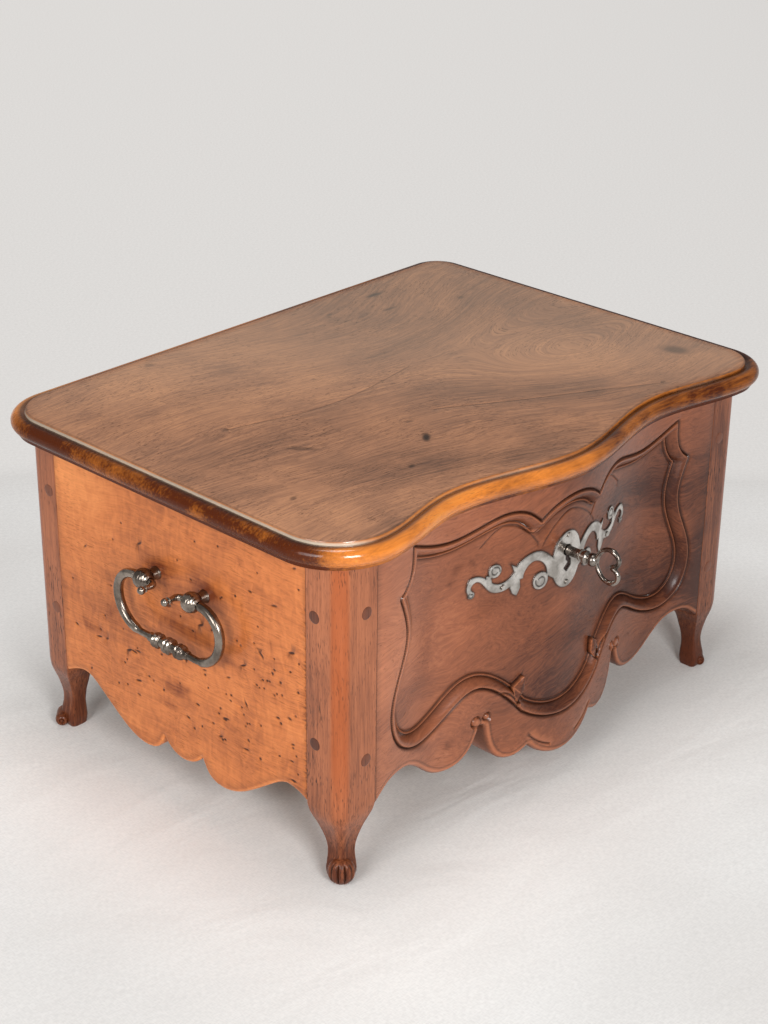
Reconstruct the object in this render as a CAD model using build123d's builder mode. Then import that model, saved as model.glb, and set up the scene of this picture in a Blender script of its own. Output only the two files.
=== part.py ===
"""Desk letter box: a walnut chest on cabriole legs with a serpentine front, iron handles, a lock and its key.

Millimetres. X runs along the front, Y from the front (negative) to the back, Z up from the soles of the feet.
The origin is on the ground under the middle of the whole piece.
"""

import os
from math import sqrt

from build123d import *

# ---- driving dimensions ---------------------------------------------------------------------------
LID_HALF_WIDTH = 209.5
LID_BACK = 170.0
LID_FRONT_MIDDLE = -144.0      # the bow in the middle of the front
LID_FRONT_RECESS = -126.5      # the hollow on either side of the bow
LID_FRONT_CROWN = -138.0       # the swell before each corner
LID_RECESS_X = 97.0
LID_CORNERS = (46.5, 35.0, 24.0, 39.0)   # radii, going round from the front left to the back left
LID_UNDERSIDE = 215.0
LID_FILLET_HEIGHT = 2.5        # small square fillet under the torus
LID_TORUS_HEIGHT = 10.8
LID_TORUS_FLAT = 0.4           # narrow flat at the middle of the torus
LID_STEP_HEIGHT = 2.2          # raised flat inside the torus
LID_FILLET_SET_BACK = 4.0
LID_STEP_SET_BACK = 9.5
LID_STEP_SOFTENING = 0.8

BODY_HALF_WIDTH = 191.0
BODY_FRONT = -121.5            # outer faces of the front posts
BODY_BACK = 151.5
POST = 30.0                    # width of a post on the front and the back
FRONT_POST_DEPTH = 27.0        # width of a post on the ends
BACK_POST_DEPTH = 24.0
# Each post: left (-1) or right (1), front (-1) or back (1), radius of its outer corner, and how far out
# from the middle of the post its toe reaches. The front right corner is worn rounder than the others.
POSTS = {
    "front_left": (-1, -1, 9.0, 10.6),
    "front_right": (1, -1, 14.0, 6.5),
    "back_left": (-1, 1, 9.0, 9.8),
    "back_right": (1, 1, 9.0, 9.8),
}

BOW_MIDDLE = -134.5            # carved front face
BOW_RECESS = -116.0
BOW_RECESS_X = 104.0
FRONT_INSIDE = -97.5           # flat inner face of the front board
PANEL = 15.0                   # thickness of the side and back boards
APRON_LOWEST = 20.0
APRON_LOBE = (30.5, 34.3)      # where the shell in the middle of the front apron ends
APRON_END = 48.3               # height of the apron where it meets the front posts
SIDE_APRON_END = (113.0, 50.4)
BACK_EDGE = 55.0               # straight lower edge of the back board

TENON = 7.0
TENON_SET_IN = 4.0             # behind the outer face of the post
TENON_LENGTH = 16.0
TENON_BOTTOM = 76.0
TENON_TOP = 204.0
PEG_RADIUS = 4.0
PEG_LENGTH = 17.0
PEG_FROM_JOINT = 8.7           # on the front and the back
SIDE_PEG_FROM_JOINT = 6.8
FRONT_PEG_HEIGHTS = (83.5, 180.0)
SIDE_PEG_HEIGHTS = (95.0, 178.0)

BOARD_BOTTOM = 63.0
BOARD_THICKNESS = 10.0
GROOVE = 5.0

FIELD_DEPTH = 5.5              # how far the carved field is sunk
FIELD_SET_IN = 8.0             # from the outline of the carving to the wall of the sunk field
FIELD_MOULDING = 3.0           # quarter round at the mouth of the sunk field
FIELD_STEPS = 8                # stretches in each curve of the set-in line
FIELD_TOP = 206.0              # above all the carving
FIELD_CLEAR = 4.0              # how far a cutter stands in front of the face

# Leg sections downwards: height, side, shift outwards along the diagonal, radius of the outer corner as a
# share of the post's, and radii of the two side corners and of the inner corner.
LEG_SECTIONS = (
    (52.0, 30.0, 0.0, 1.0, 0.6, 5.0),
    (47.0, 28.0, 0.4, 0.95, 1.0, 8.0),
    (40.0, 22.4, 0.9, 0.8, 1.8, 6.0),
    (31.0, 16.2, 0.8, 0.55, 2.4, 3.6),
    (22.0, 12.4, 1.0, 0.4, 2.6, 2.6),
    (15.5, 12.6, 1.6, 0.4, 2.8, 2.8),
    (9.0, 14.4, 2.2, 0.42, 3.2, 3.2),
    (4.0, 14.4, 2.2, 0.42, 3.2, 3.2),
    (0.0, 12.0, 1.8, 0.4, 2.8, 2.8),
)
ANKLE = 12.4                   # side of the leg where it is thinnest
TOE_BALL = 4.6
TOE_HEIGHT = 4.8

KEY_Z = 161.0
KEYHOLE_RADIUS = 3.7
KEYHOLE_SLOT = 3.4
KEYHOLE_FOOT = 147.0
ESCUTCHEON = 1.2
OVAL_Z = 155.0
OVAL_HALF_WIDTH = 13.8
OVAL_HALF_HEIGHT = 19.2
SCROLL_ENDS = (((56.4, 163.2), 4.5), ((73.0, 151.6), 2.4), ((22.6, 147.4), 5.9))
ESCUTCHEON_PINS = ((-51.0, 151.0), (0.0, 139.0), (0.0, 171.5), (51.0, 151.0))
ESCUTCHEON_PIN = 0.8
ESCUTCHEON_PIN_LENGTH = 8.0

KEY_SHANK = 3.1
KEY_INNER_END = -86.5
KEY_BALL_Y = -149.0
KEY_BALL = 4.2
BOW_WIRE = 1.6
BOW_NECK_Y = -152.5
BOW_LOBE_Y = -160.5
BOW_NOTCH_Y = -164.5
BOW_END_Y = -168.4
BOW_HALF = 11.0
BIT_REACH = 9.5
BIT_FRONT = -94.5
BIT_BACK = -87.5
BIT_THICKNESS = 2.6

HANDLE_Y = 11.5
HANDLE_Z = 157.0
STUD_SPAN = 43.0
STUD_HEAD = 5.9
STUD_SHANK = 2.9
BAIL_STAND_OFF = 10.5
BAIL_RADIUS = 3.0
BAIL_DROP = 38.0
BAIL_HALF_SPAN = 45.5
BAIL_SHOULDER = 16.5           # radius of the upper bends
BAIL_START = 29.0
PIVOT_RADIUS = 2.2
BAIL_TAPER = 1.4
TAIL_FROM_MIDDLE = 10.5
TAIL_BEND = 3.5
TAIL_LENGTH = 11.0
TAIL_BALL = 2.6
KNOPS = ((-11.5, 4.9, 2.2), (0.0, 5.5, 2.6), (11.5, 4.9, 2.2))   # place along the rod, radius, half length
STUD_INSIDE = 5.8
WASHER = 1.2
WASHER_RADIUS = 6.5
NUT = 4.0
NUT_ACROSS = 10.0
RUNNING = 0.05                 # radial clearance of a pin in its hole

HINGE_X = 120.0
HINGE_LENGTH = 44.0
HINGE_MIDDLE = 14.6            # length of the lid's knuckle
HINGE_GAP = 0.2
HINGE_LEAF = 1.2
KNUCKLE_RADIUS = 2.6
PIN_OFFSET = 3.0               # pin centre behind the back and below the lid
PIN_RADIUS = 1.3
LEAF_CLEAR = 3.4               # from the pin centre to the edge of each leaf
BODY_LEAF_END = 22.0
LID_LEAF_END = 10.5
HINGE_SCREW_X = 14.0
BODY_SCREW_DROP = 14.0
LID_SCREW_REACH = 6.9

LOCK_PLATE = 2.0
LOCK_PLATE_HALF = 39.0
LOCK_PLATE_BOTTOM = 143.0
LOCK_HALF_WIDTH = 32.0
LOCK_BOTTOM = 148.0
LOCK_TOP = 211.0
LOCK_DEPTH = 11.5
LOCK_WALL = 1.5
LOCK_SCREW_X = 35.5
LOCK_SCREW_HEIGHTS = (148.0, 206.0)
BOLT_TRAVEL = 9.0
BOLT_THICKNESS = 4.0
BOLT_BAR = (172.0, 182.0)
BOLT_TONGUE = (197.0, 204.5)
BOLT_LEFT = -22.0
BOLT_RIGHT = 19.0
BOLT_NECK = -12.0
BOLT_TIP = -5.0
BOLT_SLACK = 0.3               # end play of the guides in their slots
GUIDE_XS = (-8.0, 14.0)
GUIDE_RADIUS = 1.6
GUIDE_COLLAR = 3.5
COLLAR_GAP = 0.1
STAPLE_HALF = 2.0
STAPLE_DROP = 20.0
STAPLE_PLATE = 2.0
STAPLE_PLATE_HALF_WIDTH = 15.0
STAPLE_PLATE_HALF_DEPTH = 6.0
STAPLE_SCREW_X = 11.0
STAPLE_LOOP = 3.8              # half depth of the loop, and of its eye
STAPLE_EYE = 2.4
STAPLE_EYE_PLAY = 1.0
STAPLE_SLOT = 3.5              # half width of the slot in the top of the case

SCREW_HEAD = 2.5
SCREW_SHANK = 1.3
SCREW_SINK = 1.2
SCREW_LENGTH = 10.0
REACH = 160.0                  # further out than the front, for cuts that go right through it

# ---- derived places -------------------------------------------------------------------------------
JOINT_X = BODY_HALF_WIDTH - POST
POST_MIDDLE_X = BODY_HALF_WIDTH - POST / 2
FRONT_JOINT = BODY_FRONT + FRONT_POST_DEPTH
BACK_JOINT = BODY_BACK - BACK_POST_DEPTH
BODY_MIDDLE = (BODY_FRONT + BODY_BACK) / 2
SIDE_INSIDE = BODY_HALF_WIDTH - PANEL
BACK_INSIDE = BODY_BACK - PANEL
PIN_Y = BODY_BACK + PIN_OFFSET
PIN_Z = LID_UNDERSIDE - PIN_OFFSET
LOCK_FACE = FRONT_INSIDE + LOCK_PLATE
BOLT_MIDDLE_Y = LOCK_FACE + (LOCK_DEPTH - LOCK_WALL) / 2

os.makedirs("parts", exist_ok=True)


def save(part, name):
    """Label a finished piece and write its STEP file."""
    part.label = name
    export_step(part, f"parts/{name}.step")


def block(corner_a, corner_b):
    """A box between two opposite corners, whichever way round they are."""
    low = [min(a, b) for a, b in zip(corner_a, corner_b)]
    size = [abs(b - a) for a, b in zip(corner_a, corner_b)]
    return Solid.make_box(*size, Plane(low))


def rod(start, direction, radius, length):
    """A cylinder from start, along direction."""
    return Solid.make_cylinder(radius, length, Plane(start, z_dir=direction))


def cut_each(solids):
    """Cut every one of these solids out of the part being built."""
    for solid in solids:
        add(solid, mode=Mode.SUBTRACT)


def screw(face_point, direction):
    """A countersunk wood screw whose head is flush with face_point."""
    plane = Plane(face_point, z_dir=direction)
    head = Solid.make_cone(SCREW_HEAD, SCREW_SHANK, SCREW_SINK, plane)
    shank = Solid.make_cylinder(SCREW_SHANK, SCREW_LENGTH, plane)
    return head + shank


def turned(profile, start, direction):
    """A solid of revolution about direction: profile holds (distance from start, radius) pairs."""
    with BuildPart() as piece:
        with BuildSketch(Plane.XZ):
            with BuildLine():
                outer = [(radius, distance) for distance, radius in profile]
                Polyline((0, profile[0][0]), *outer, (0, profile[-1][0]), close=True)
            make_face()
        revolve(axis=Axis.Z)
    return piece.part.moved(Plane(start, z_dir=direction).location)


LEFT_RIGHT = (("left", -1), ("right", 1))
lock_screws = [
    screw((x, LOCK_FACE, z), (0, -1, 0)) for x in (-LOCK_SCREW_X, LOCK_SCREW_X) for z in LOCK_SCREW_HEIGHTS
]
body_hinge_screws = [
    screw((side * HINGE_X + dx, BODY_BACK + HINGE_LEAF, PIN_Z - BODY_SCREW_DROP), (0, -1, 0))
    for _, side in LEFT_RIGHT
    for dx in (-HINGE_SCREW_X, HINGE_SCREW_X)
]
lid_hinge_screws = [
    screw((side * HINGE_X + dx, PIN_Y + LID_SCREW_REACH, LID_UNDERSIDE - HINGE_LEAF), (0, 0, 1))
    for _, side in LEFT_RIGHT
    for dx in (-HINGE_SCREW_X, HINGE_SCREW_X)
]
staple_screws = [
    screw((x, BOLT_MIDDLE_Y, LID_UNDERSIDE - STAPLE_PLATE), (0, 0, 1))
    for x in (-STAPLE_SCREW_X, STAPLE_SCREW_X)
]


# ---- lid ------------------------------------------------------------------------------------------
def lid_outline(set_back=0.0):
    """Closed outline of the lid's moulded edge, seen from above, or a line that far inside it."""
    right = LID_HALF_WIDTH - set_back
    back = LID_BACK - set_back
    middle = LID_FRONT_MIDDLE + set_back
    recess = LID_FRONT_RECESS + set_back
    crown = LID_FRONT_CROWN + set_back
    front_left, front_right, back_right, back_left = [radius - set_back for radius in LID_CORNERS]
    with BuildLine() as outline:
        Spline(
            (front_left - right, crown), (-LID_RECESS_X, recess), (0, middle), (LID_RECESS_X, recess),
            (right - front_right, crown),
            tangents=[(1, 0)] * 5,
        )
        RadiusArc((right - front_right, crown), (right, crown + front_right), -front_right)
        Line((right, crown + front_right), (right, back - back_right))
        RadiusArc((right, back - back_right), (right - back_right, back), -back_right)
        Line((right - back_right, back), (back_left - right, back))
        RadiusArc((back_left - right, back), (-right, back - back_left), -back_left)
        Line((-right, back - back_left), (-right, crown + front_left))
        RadiusArc((-right, crown + front_left), (front_left - right, crown), -front_left)
    return outline.line


with BuildPart() as lid:
    torus_bottom = LID_UNDERSIDE + LID_FILLET_HEIGHT
    with BuildSketch(Plane.XY.offset(torus_bottom)):
        add(lid_outline())
        make_face()
    extrude(amount=LID_TORUS_HEIGHT)
    rims = lid.faces().sort_by(Axis.Z)[0].edges() + lid.faces().sort_by(Axis.Z)[-1].edges()
    fillet(rims, radius=(LID_TORUS_HEIGHT - LID_TORUS_FLAT) / 2)
    with BuildSketch(Plane.XY.offset(LID_UNDERSIDE)):
        add(lid_outline(LID_FILLET_SET_BACK))
        make_face()
    extrude(amount=LID_FILLET_HEIGHT)
    with BuildSketch(Plane.XY.offset(torus_bottom + LID_TORUS_HEIGHT)):
        add(lid_outline(LID_STEP_SET_BACK))
        make_face()
    extrude(amount=LID_STEP_HEIGHT)
    fillet(lid.faces().sort_by(Axis.Z)[-1].edges(), radius=LID_STEP_SOFTENING)
    cut_each(lid_hinge_screws + staple_screws)
save(lid.part, "lid")


# ---- front board ----------------------------------------------------------------------------------
def front_curve(depth=0.0):
    """Points of the serpentine front line in plan, moved back by depth; the line runs along X at each."""
    half = (
        (0, BOW_MIDDLE + depth),
        (BOW_RECESS_X, BOW_RECESS + depth),
        (JOINT_X, BODY_FRONT + depth),
    )
    points = [(-x, y) for x, y in half[:0:-1]] + list(half)
    return points, [(1, 0)] * len(points)


def front_slab(near, far):
    """A slab as high as the front board that follows its face, from near to far behind it."""
    near_points, along = front_curve(near)
    far_points, _ = front_curve(far)
    with BuildPart() as slab:
        with BuildSketch(Plane.XY.offset(APRON_LOWEST)):
            with BuildLine():
                Spline(near_points, tangents=along)
                Spline(far_points, tangents=along)
                Line(near_points[0], far_points[0])
                Line(near_points[-1], far_points[-1])
            make_face()
        extrude(amount=FIELD_TOP - APRON_LOWEST)
    return slab.part


def keyhole(radius):
    """Round hole with a slot below it for the bit of the key, drawn on the front."""
    with BuildSketch(Plane.XZ) as hole:
        with Locations((0, KEY_Z)):
            Circle(radius)
        with Locations((0, (KEY_Z + KEYHOLE_FOOT) / 2)):
            Rectangle(KEYHOLE_SLOT, KEY_Z - KEYHOLE_FOOT)
    return hole.sketch


def front_y(x):
    """Where the front face stands at x."""
    points, along = front_curve()
    face_line = Edge.make_spline([Vector(*point) for point in points], [Vector(*way) for way in along])
    return face_line.find_intersection_points(Axis((x, 0, 0), (0, 1, 0)))[0].Y


sunk_slab = front_slab(-FIELD_CLEAR, FIELD_DEPTH)
escutcheon_slab = front_slab(FIELD_DEPTH - ESCUTCHEON, FIELD_DEPTH)

with BuildSketch(Plane.XZ) as field_outline:
    with BuildLine():
        ThreePointArc((-28, 190), (0, 200.5), (28, 190))
        Spline((28, 190), (38, 198), (50, 201), (70, 197.5), (93, 194), (112, 198), (126.5, 204))
        Spline((126.5, 204), (128.5, 187), (138.6, 176), tangents=((0, -1), (1, -0.4)))
        Spline((138.6, 176), (131.5, 150), (146, 104), (137, 77), (122, 69.5), (105, 72),
               (90, 80), (72, 88), (54, 80), (37, 62))
        mirror(about=Plane.YZ)
    with BuildLine():
        ThreePointArc((-37, 62), (0, 48.8), (37, 62))
    make_face()
    offset(amount=-FIELD_SET_IN, mode=Mode.REPLACE)

with BuildPart() as sunk_field:
    with BuildSketch(Plane.XZ):
        with BuildLine():
            # each edge of the set-in line is drawn again through points along it, as a plain curve
            for edge in field_outline.sketch.edges():
                stops = [edge @ (step / FIELD_STEPS) for step in range(FIELD_STEPS + 1)]
                Spline(
                    [(stop.X, stop.Z) for stop in stops],
                    tangents=[((edge % end).X, (edge % end).Z) for end in (0, 1)],
                )
        make_face()
    extrude(amount=REACH, both=True)
    add(sunk_slab, mode=Mode.INTERSECT)

with BuildPart() as escutcheon_pins:
    for x, z in ESCUTCHEON_PINS:
        plate_y = front_y(x) + FIELD_DEPTH - ESCUTCHEON
        add(rod((x, plate_y, z), (0, 1, 0), ESCUTCHEON_PIN, ESCUTCHEON_PIN_LENGTH))
        add(rod((x, plate_y - ESCUTCHEON_PIN, z), (0, 1, 0), 2 * ESCUTCHEON_PIN, ESCUTCHEON_PIN))
save(escutcheon_pins.part, "escutcheon_pins")

with BuildPart() as front_panel:
    with BuildSketch(Plane.XY.offset(APRON_LOWEST)):
        with BuildLine():
            face_points, face_along = front_curve()
            Spline(face_points, tangents=face_along)
            Polyline(
                (-JOINT_X, BODY_FRONT), (-JOINT_X, FRONT_INSIDE), (JOINT_X, FRONT_INSIDE),
                (JOINT_X, BODY_FRONT),
            )
        make_face()
    extrude(amount=LID_UNDERSIDE - APRON_LOWEST)
    add(sunk_field.part, mode=Mode.SUBTRACT)
    carved_face = front_panel.faces().filter_by(lambda f: len(f.inner_wires()) > 0)[0]
    fillet(carved_face.inner_wires()[0].edges(), radius=FIELD_MOULDING)
    # scalloped apron: everything below its lower edge is sawn away
    with BuildSketch(Plane.XZ):
        with BuildLine():
            Spline(APRON_LOBE, (41, 29.8), (52, 32), (60.5, 43), (64, 58))
            ThreePointArc((64, 58), (66, 60.5), (68, 58))
            Spline((68, 58), (73, 47), (82, 39), (93, 37.2), (105, 41), (117, 50.5), (130, 58.5),
                   (141, 59.6), (148, 58), (154, 54.3), (JOINT_X, APRON_END))
            Polyline((JOINT_X, APRON_END), (POST_MIDDLE_X, APRON_END), (POST_MIDDLE_X, 0), (0, 0))
            mirror(about=Plane.YZ)
        with BuildLine():
            ThreePointArc((-APRON_LOBE[0], APRON_LOBE[1]), (0, APRON_LOWEST), APRON_LOBE)
        make_face()
    extrude(amount=REACH, both=True, mode=Mode.SUBTRACT)
    extrude(keyhole(KEYHOLE_RADIUS), amount=REACH, both=True, mode=Mode.SUBTRACT)
    for _, side in LEFT_RIGHT:
        tenon_front = BODY_FRONT + TENON_SET_IN
        add(
            block(
                (side * JOINT_X, tenon_front, TENON_BOTTOM),
                (side * (JOINT_X + TENON_LENGTH), tenon_front + TENON, TENON_TOP),
            )
        )
        for height in FRONT_PEG_HEIGHTS:
            peg_start = (side * (JOINT_X + PEG_FROM_JOINT), BODY_FRONT, height)
            add(rod(peg_start, (0, 1, 0), PEG_RADIUS, PEG_LENGTH), mode=Mode.SUBTRACT)
    add(
        block(
            (-JOINT_X, FRONT_INSIDE - GROOVE, BOARD_BOTTOM),
            (JOINT_X, FRONT_INSIDE, BOARD_BOTTOM + BOARD_THICKNESS),
        ),
        mode=Mode.SUBTRACT,
    )
    cut_each(lock_screws)
    cut_each(escutcheon_pins.part.solids())
save(front_panel.part, "front_panel")


# ---- side and back boards -------------------------------------------------------------------------
def side_panel(side):
    """One end of the box, with its apron, tenons, groove and the holes for the handle."""
    outer = Plane((side * BODY_HALF_WIDTH, BODY_MIDDLE, 0), x_dir=(0, 1, 0), z_dir=(1, 0, 0))
    with BuildPart() as panel:
        with BuildSketch(outer):
            with BuildLine():
                Spline((17.3, 41.5), (25, 30.5), (38, 27.8), (64, 39.5), (80, 51), (92, 57), (104, 54.8),
                       SIDE_APRON_END)
                Polyline(SIDE_APRON_END, (SIDE_APRON_END[0], LID_UNDERSIDE), (0, LID_UNDERSIDE))
                mirror(about=Plane.YZ)
            with BuildLine():
                ThreePointArc((-17.3, 41.5), (0, 32), (17.3, 41.5))
            make_face()
            # the curve runs a little past both joints and is cut off there
            with Locations(((FRONT_JOINT + BACK_JOINT) / 2 - BODY_MIDDLE, LID_UNDERSIDE / 2)):
                Rectangle(BACK_JOINT - FRONT_JOINT, LID_UNDERSIDE, mode=Mode.INTERSECT)
        extrude(amount=-side * PANEL)
        tenon_x = side * (BODY_HALF_WIDTH - TENON_SET_IN)
        for joint, away in ((FRONT_JOINT, -1), (BACK_JOINT, 1)):
            add(
                block(
                    (tenon_x, joint, TENON_BOTTOM),
                    (tenon_x - side * TENON, joint + away * TENON_LENGTH, TENON_TOP),
                )
            )
            for height in SIDE_PEG_HEIGHTS:
                peg_start = (side * BODY_HALF_WIDTH, joint + away * SIDE_PEG_FROM_JOINT, height)
                add(rod(peg_start, (-side, 0, 0), PEG_RADIUS, PEG_LENGTH), mode=Mode.SUBTRACT)
        add(
            block(
                (side * SIDE_INSIDE, FRONT_JOINT, BOARD_BOTTOM),
                (side * (SIDE_INSIDE + GROOVE), BACK_JOINT, BOARD_BOTTOM + BOARD_THICKNESS),
            ),
            mode=Mode.SUBTRACT,
        )
        for y in (HANDLE_Y - STUD_SPAN / 2, HANDLE_Y + STUD_SPAN / 2):
            hole_start = (side * BODY_HALF_WIDTH, y, HANDLE_Z)
            add(rod(hole_start, (-side, 0, 0), STUD_SHANK, PANEL), mode=Mode.SUBTRACT)
    return panel.part


for name, side in LEFT_RIGHT:
    save(side_panel(side), f"{name}_side_panel")

with BuildPart() as back_panel:
    add(block((-JOINT_X, BACK_INSIDE, BACK_EDGE), (JOINT_X, BODY_BACK, LID_UNDERSIDE)))
    for _, side in LEFT_RIGHT:
        tenon_back = BODY_BACK - TENON_SET_IN
        add(
            block(
                (side * JOINT_X, tenon_back, TENON_BOTTOM),
                (side * (JOINT_X + TENON_LENGTH), tenon_back - TENON, TENON_TOP),
            )
        )
        for height in FRONT_PEG_HEIGHTS:
            peg_start = (side * (JOINT_X + PEG_FROM_JOINT), BODY_BACK, height)
            add(rod(peg_start, (0, -1, 0), PEG_RADIUS, PEG_LENGTH), mode=Mode.SUBTRACT)
    add(
        block(
            (-JOINT_X, BACK_INSIDE, BOARD_BOTTOM),
            (JOINT_X, BACK_INSIDE + GROOVE, BOARD_BOTTOM + BOARD_THICKNESS),
        ),
        mode=Mode.SUBTRACT,
    )
    cut_each(body_hinge_screws)
save(back_panel.part, "back_panel")


# ---- corner posts with cabriole legs --------------------------------------------------------------
def leg_section(x, y, width, depth, side, end, outer_radius, side_radius, inner_radius):
    """Outline of a four-sided section whose outer corner is the roundest."""
    inner_x, outer_x = x - side * width / 2, x + side * width / 2
    inner_y, outer_y = y - end * depth / 2, y + end * depth / 2
    with BuildLine() as outline:
        FilletPolyline(
            (inner_x, inner_y), (outer_x, inner_y), (outer_x, outer_y), (inner_x, outer_y),
            radius=(inner_radius, side_radius, outer_radius, side_radius), close=True,
        )
    return outline.line


def post(side, end, corner, toe):
    """A corner post on its cabriole leg."""
    face_y = BODY_FRONT if end < 0 else BODY_BACK
    joint_y = FRONT_JOINT if end < 0 else BACK_JOINT
    depth = abs(face_y - joint_y)
    middle = (side * POST_MIDDLE_X, (face_y + joint_y) / 2)
    with BuildPart() as piece:
        for height, size, shift, outer_share, side_radius, inner_radius in LEG_SECTIONS:
            x = middle[0] + side * shift / sqrt(2)
            y = middle[1] + end * shift / sqrt(2)
            # the leg starts as deep as the post and is square at the ankle
            size_y = size - (POST - depth) * max(0, size - ANKLE) / (POST - ANKLE)
            outer_radius = corner * outer_share
            with BuildSketch(Plane.XY.offset(height)):
                add(leg_section(x, y, size, size_y, side, end, outer_radius, side_radius, inner_radius))
                make_face()
        loft()
        with BuildSketch(Plane.XY.offset(LEG_SECTIONS[0][0])):
            add(leg_section(*middle, POST, depth, side, end, corner, 0, 0))
            make_face()
        extrude(amount=LID_UNDERSIDE - LEG_SECTIONS[0][0])
        toe_x = middle[0] + side * toe / sqrt(2)
        toe_y = middle[1] + end * toe / sqrt(2)
        with Locations((toe_x, toe_y, TOE_HEIGHT)):
            Sphere(TOE_BALL)
        tenon_y = face_y - end * TENON_SET_IN
        tenon_x = side * (BODY_HALF_WIDTH - TENON_SET_IN)
        add(
            block(
                (side * JOINT_X, tenon_y, TENON_BOTTOM),
                (side * (JOINT_X + TENON_LENGTH), tenon_y - end * TENON, TENON_TOP),
            ),
            mode=Mode.SUBTRACT,
        )
        add(
            block(
                (tenon_x, joint_y, TENON_BOTTOM),
                (tenon_x - side * TENON, joint_y + end * TENON_LENGTH, TENON_TOP),
            ),
            mode=Mode.SUBTRACT,
        )
        cut_each(pegs_of(side, end))
    return piece.part


def pegs_of(side, end):
    """The four pegs that lock the tenons in one post."""
    face_y = BODY_FRONT if end < 0 else BODY_BACK
    joint_y = FRONT_JOINT if end < 0 else BACK_JOINT
    pegs = []
    for height in FRONT_PEG_HEIGHTS:
        start = (side * (JOINT_X + PEG_FROM_JOINT), face_y, height)
        pegs.append(rod(start, (0, -end, 0), PEG_RADIUS, PEG_LENGTH))
    for height in SIDE_PEG_HEIGHTS:
        start = (side * BODY_HALF_WIDTH, joint_y + end * SIDE_PEG_FROM_JOINT, height)
        pegs.append(rod(start, (-side, 0, 0), PEG_RADIUS, PEG_LENGTH))
    return pegs


for name, (side, end, corner, toe) in POSTS.items():
    save(post(side, end, corner, toe), f"{name}_post")

with BuildPart() as tenon_pegs:
    for side, end, _, _ in POSTS.values():
        add(pegs_of(side, end))
save(tenon_pegs.part, "tenon_pegs")

with BuildPart() as bottom_board:
    add(
        block(
            (-SIDE_INSIDE - GROOVE, FRONT_INSIDE - GROOVE, BOARD_BOTTOM),
            (SIDE_INSIDE + GROOVE, BACK_INSIDE + GROOVE, BOARD_BOTTOM + BOARD_THICKNESS),
        )
    )
    for _, side in LEFT_RIGHT:
        for face_y, joint_y in ((BODY_FRONT, FRONT_JOINT), (BODY_BACK, BACK_JOINT)):
            add(
                block(
                    (side * JOINT_X, joint_y, BOARD_BOTTOM),
                    (side * BODY_HALF_WIDTH, face_y, BOARD_BOTTOM + BOARD_THICKNESS),
                ),
                mode=Mode.SUBTRACT,
            )
save(bottom_board.part, "bottom_board")


# ---- hinges ---------------------------------------------------------------------------------------
def knuckle(x, length):
    """A stretch of hinge barrel centred on x."""
    return rod((x - length / 2, PIN_Y, PIN_Z), (1, 0, 0), KNUCKLE_RADIUS, length)


def body_leaf(x):
    """The leaf on the back board, with the two outer knuckles."""
    outer_length = (HINGE_LENGTH - HINGE_MIDDLE) / 2 - HINGE_GAP
    outer_x = (HINGE_LENGTH - outer_length) / 2
    with BuildPart() as leaf:
        add(
            block(
                (x - HINGE_LENGTH / 2, BODY_BACK, PIN_Z - BODY_LEAF_END),
                (x + HINGE_LENGTH / 2, BODY_BACK + HINGE_LEAF, PIN_Z - LEAF_CLEAR),
            )
        )
        for dx in (-outer_x, outer_x):
            add(knuckle(x + dx, outer_length))
            add(
                block(
                    (x + dx - outer_length / 2, BODY_BACK, PIN_Z - LEAF_CLEAR),
                    (x + dx + outer_length / 2, BODY_BACK + HINGE_LEAF, PIN_Z),
                )
            )
        pin_start = (x - HINGE_LENGTH / 2, PIN_Y, PIN_Z)
        add(rod(pin_start, (1, 0, 0), PIN_RADIUS, HINGE_LENGTH), mode=Mode.SUBTRACT)
        cut_each(body_hinge_screws)
    return leaf.part


def lid_leaf(x):
    """The leaf under the lid, with the middle knuckle."""
    bore = PIN_RADIUS + RUNNING
    with BuildPart() as leaf:
        add(
            block(
                (x - HINGE_LENGTH / 2, PIN_Y + LEAF_CLEAR, LID_UNDERSIDE - HINGE_LEAF),
                (x + HINGE_LENGTH / 2, PIN_Y + LID_LEAF_END, LID_UNDERSIDE),
            )
        )
        add(knuckle(x, HINGE_MIDDLE))
        add(
            block(
                (x - HINGE_MIDDLE / 2, PIN_Y, LID_UNDERSIDE - HINGE_LEAF),
                (x + HINGE_MIDDLE / 2, PIN_Y + LEAF_CLEAR, LID_UNDERSIDE),
            )
        )
        add(rod((x - HINGE_LENGTH / 2, PIN_Y, PIN_Z), (1, 0, 0), bore, HINGE_LENGTH), mode=Mode.SUBTRACT)
        cut_each(lid_hinge_screws)
    return leaf.part


for name, side in LEFT_RIGHT:
    save(body_leaf(side * HINGE_X), f"{name}_hinge_body_leaf")
    save(lid_leaf(side * HINGE_X), f"{name}_hinge_lid_leaf")
    with BuildPart() as hinge_pin:
        pin_start = (side * HINGE_X - HINGE_LENGTH / 2, PIN_Y, PIN_Z)
        add(rod(pin_start, (1, 0, 0), PIN_RADIUS, HINGE_LENGTH))
    save(hinge_pin.part, f"{name}_hinge_pin")


def save_group(solids, name):
    """Identical fasteners as one node."""
    with BuildPart() as group:
        add(solids)
    save(group.part, name)


save_group(body_hinge_screws, "body_hinge_screws")
save_group(lid_hinge_screws, "lid_hinge_screws")
save_group(lock_screws, "lock_screws")
save_group(staple_screws, "staple_screws")


# ---- lock -----------------------------------------------------------------------------------------
guide_z = sum(BOLT_BAR) / 2
bolt_front = BOLT_MIDDLE_Y - BOLT_THICKNESS / 2
case_inside = LOCK_FACE + LOCK_DEPTH - LOCK_WALL

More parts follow.
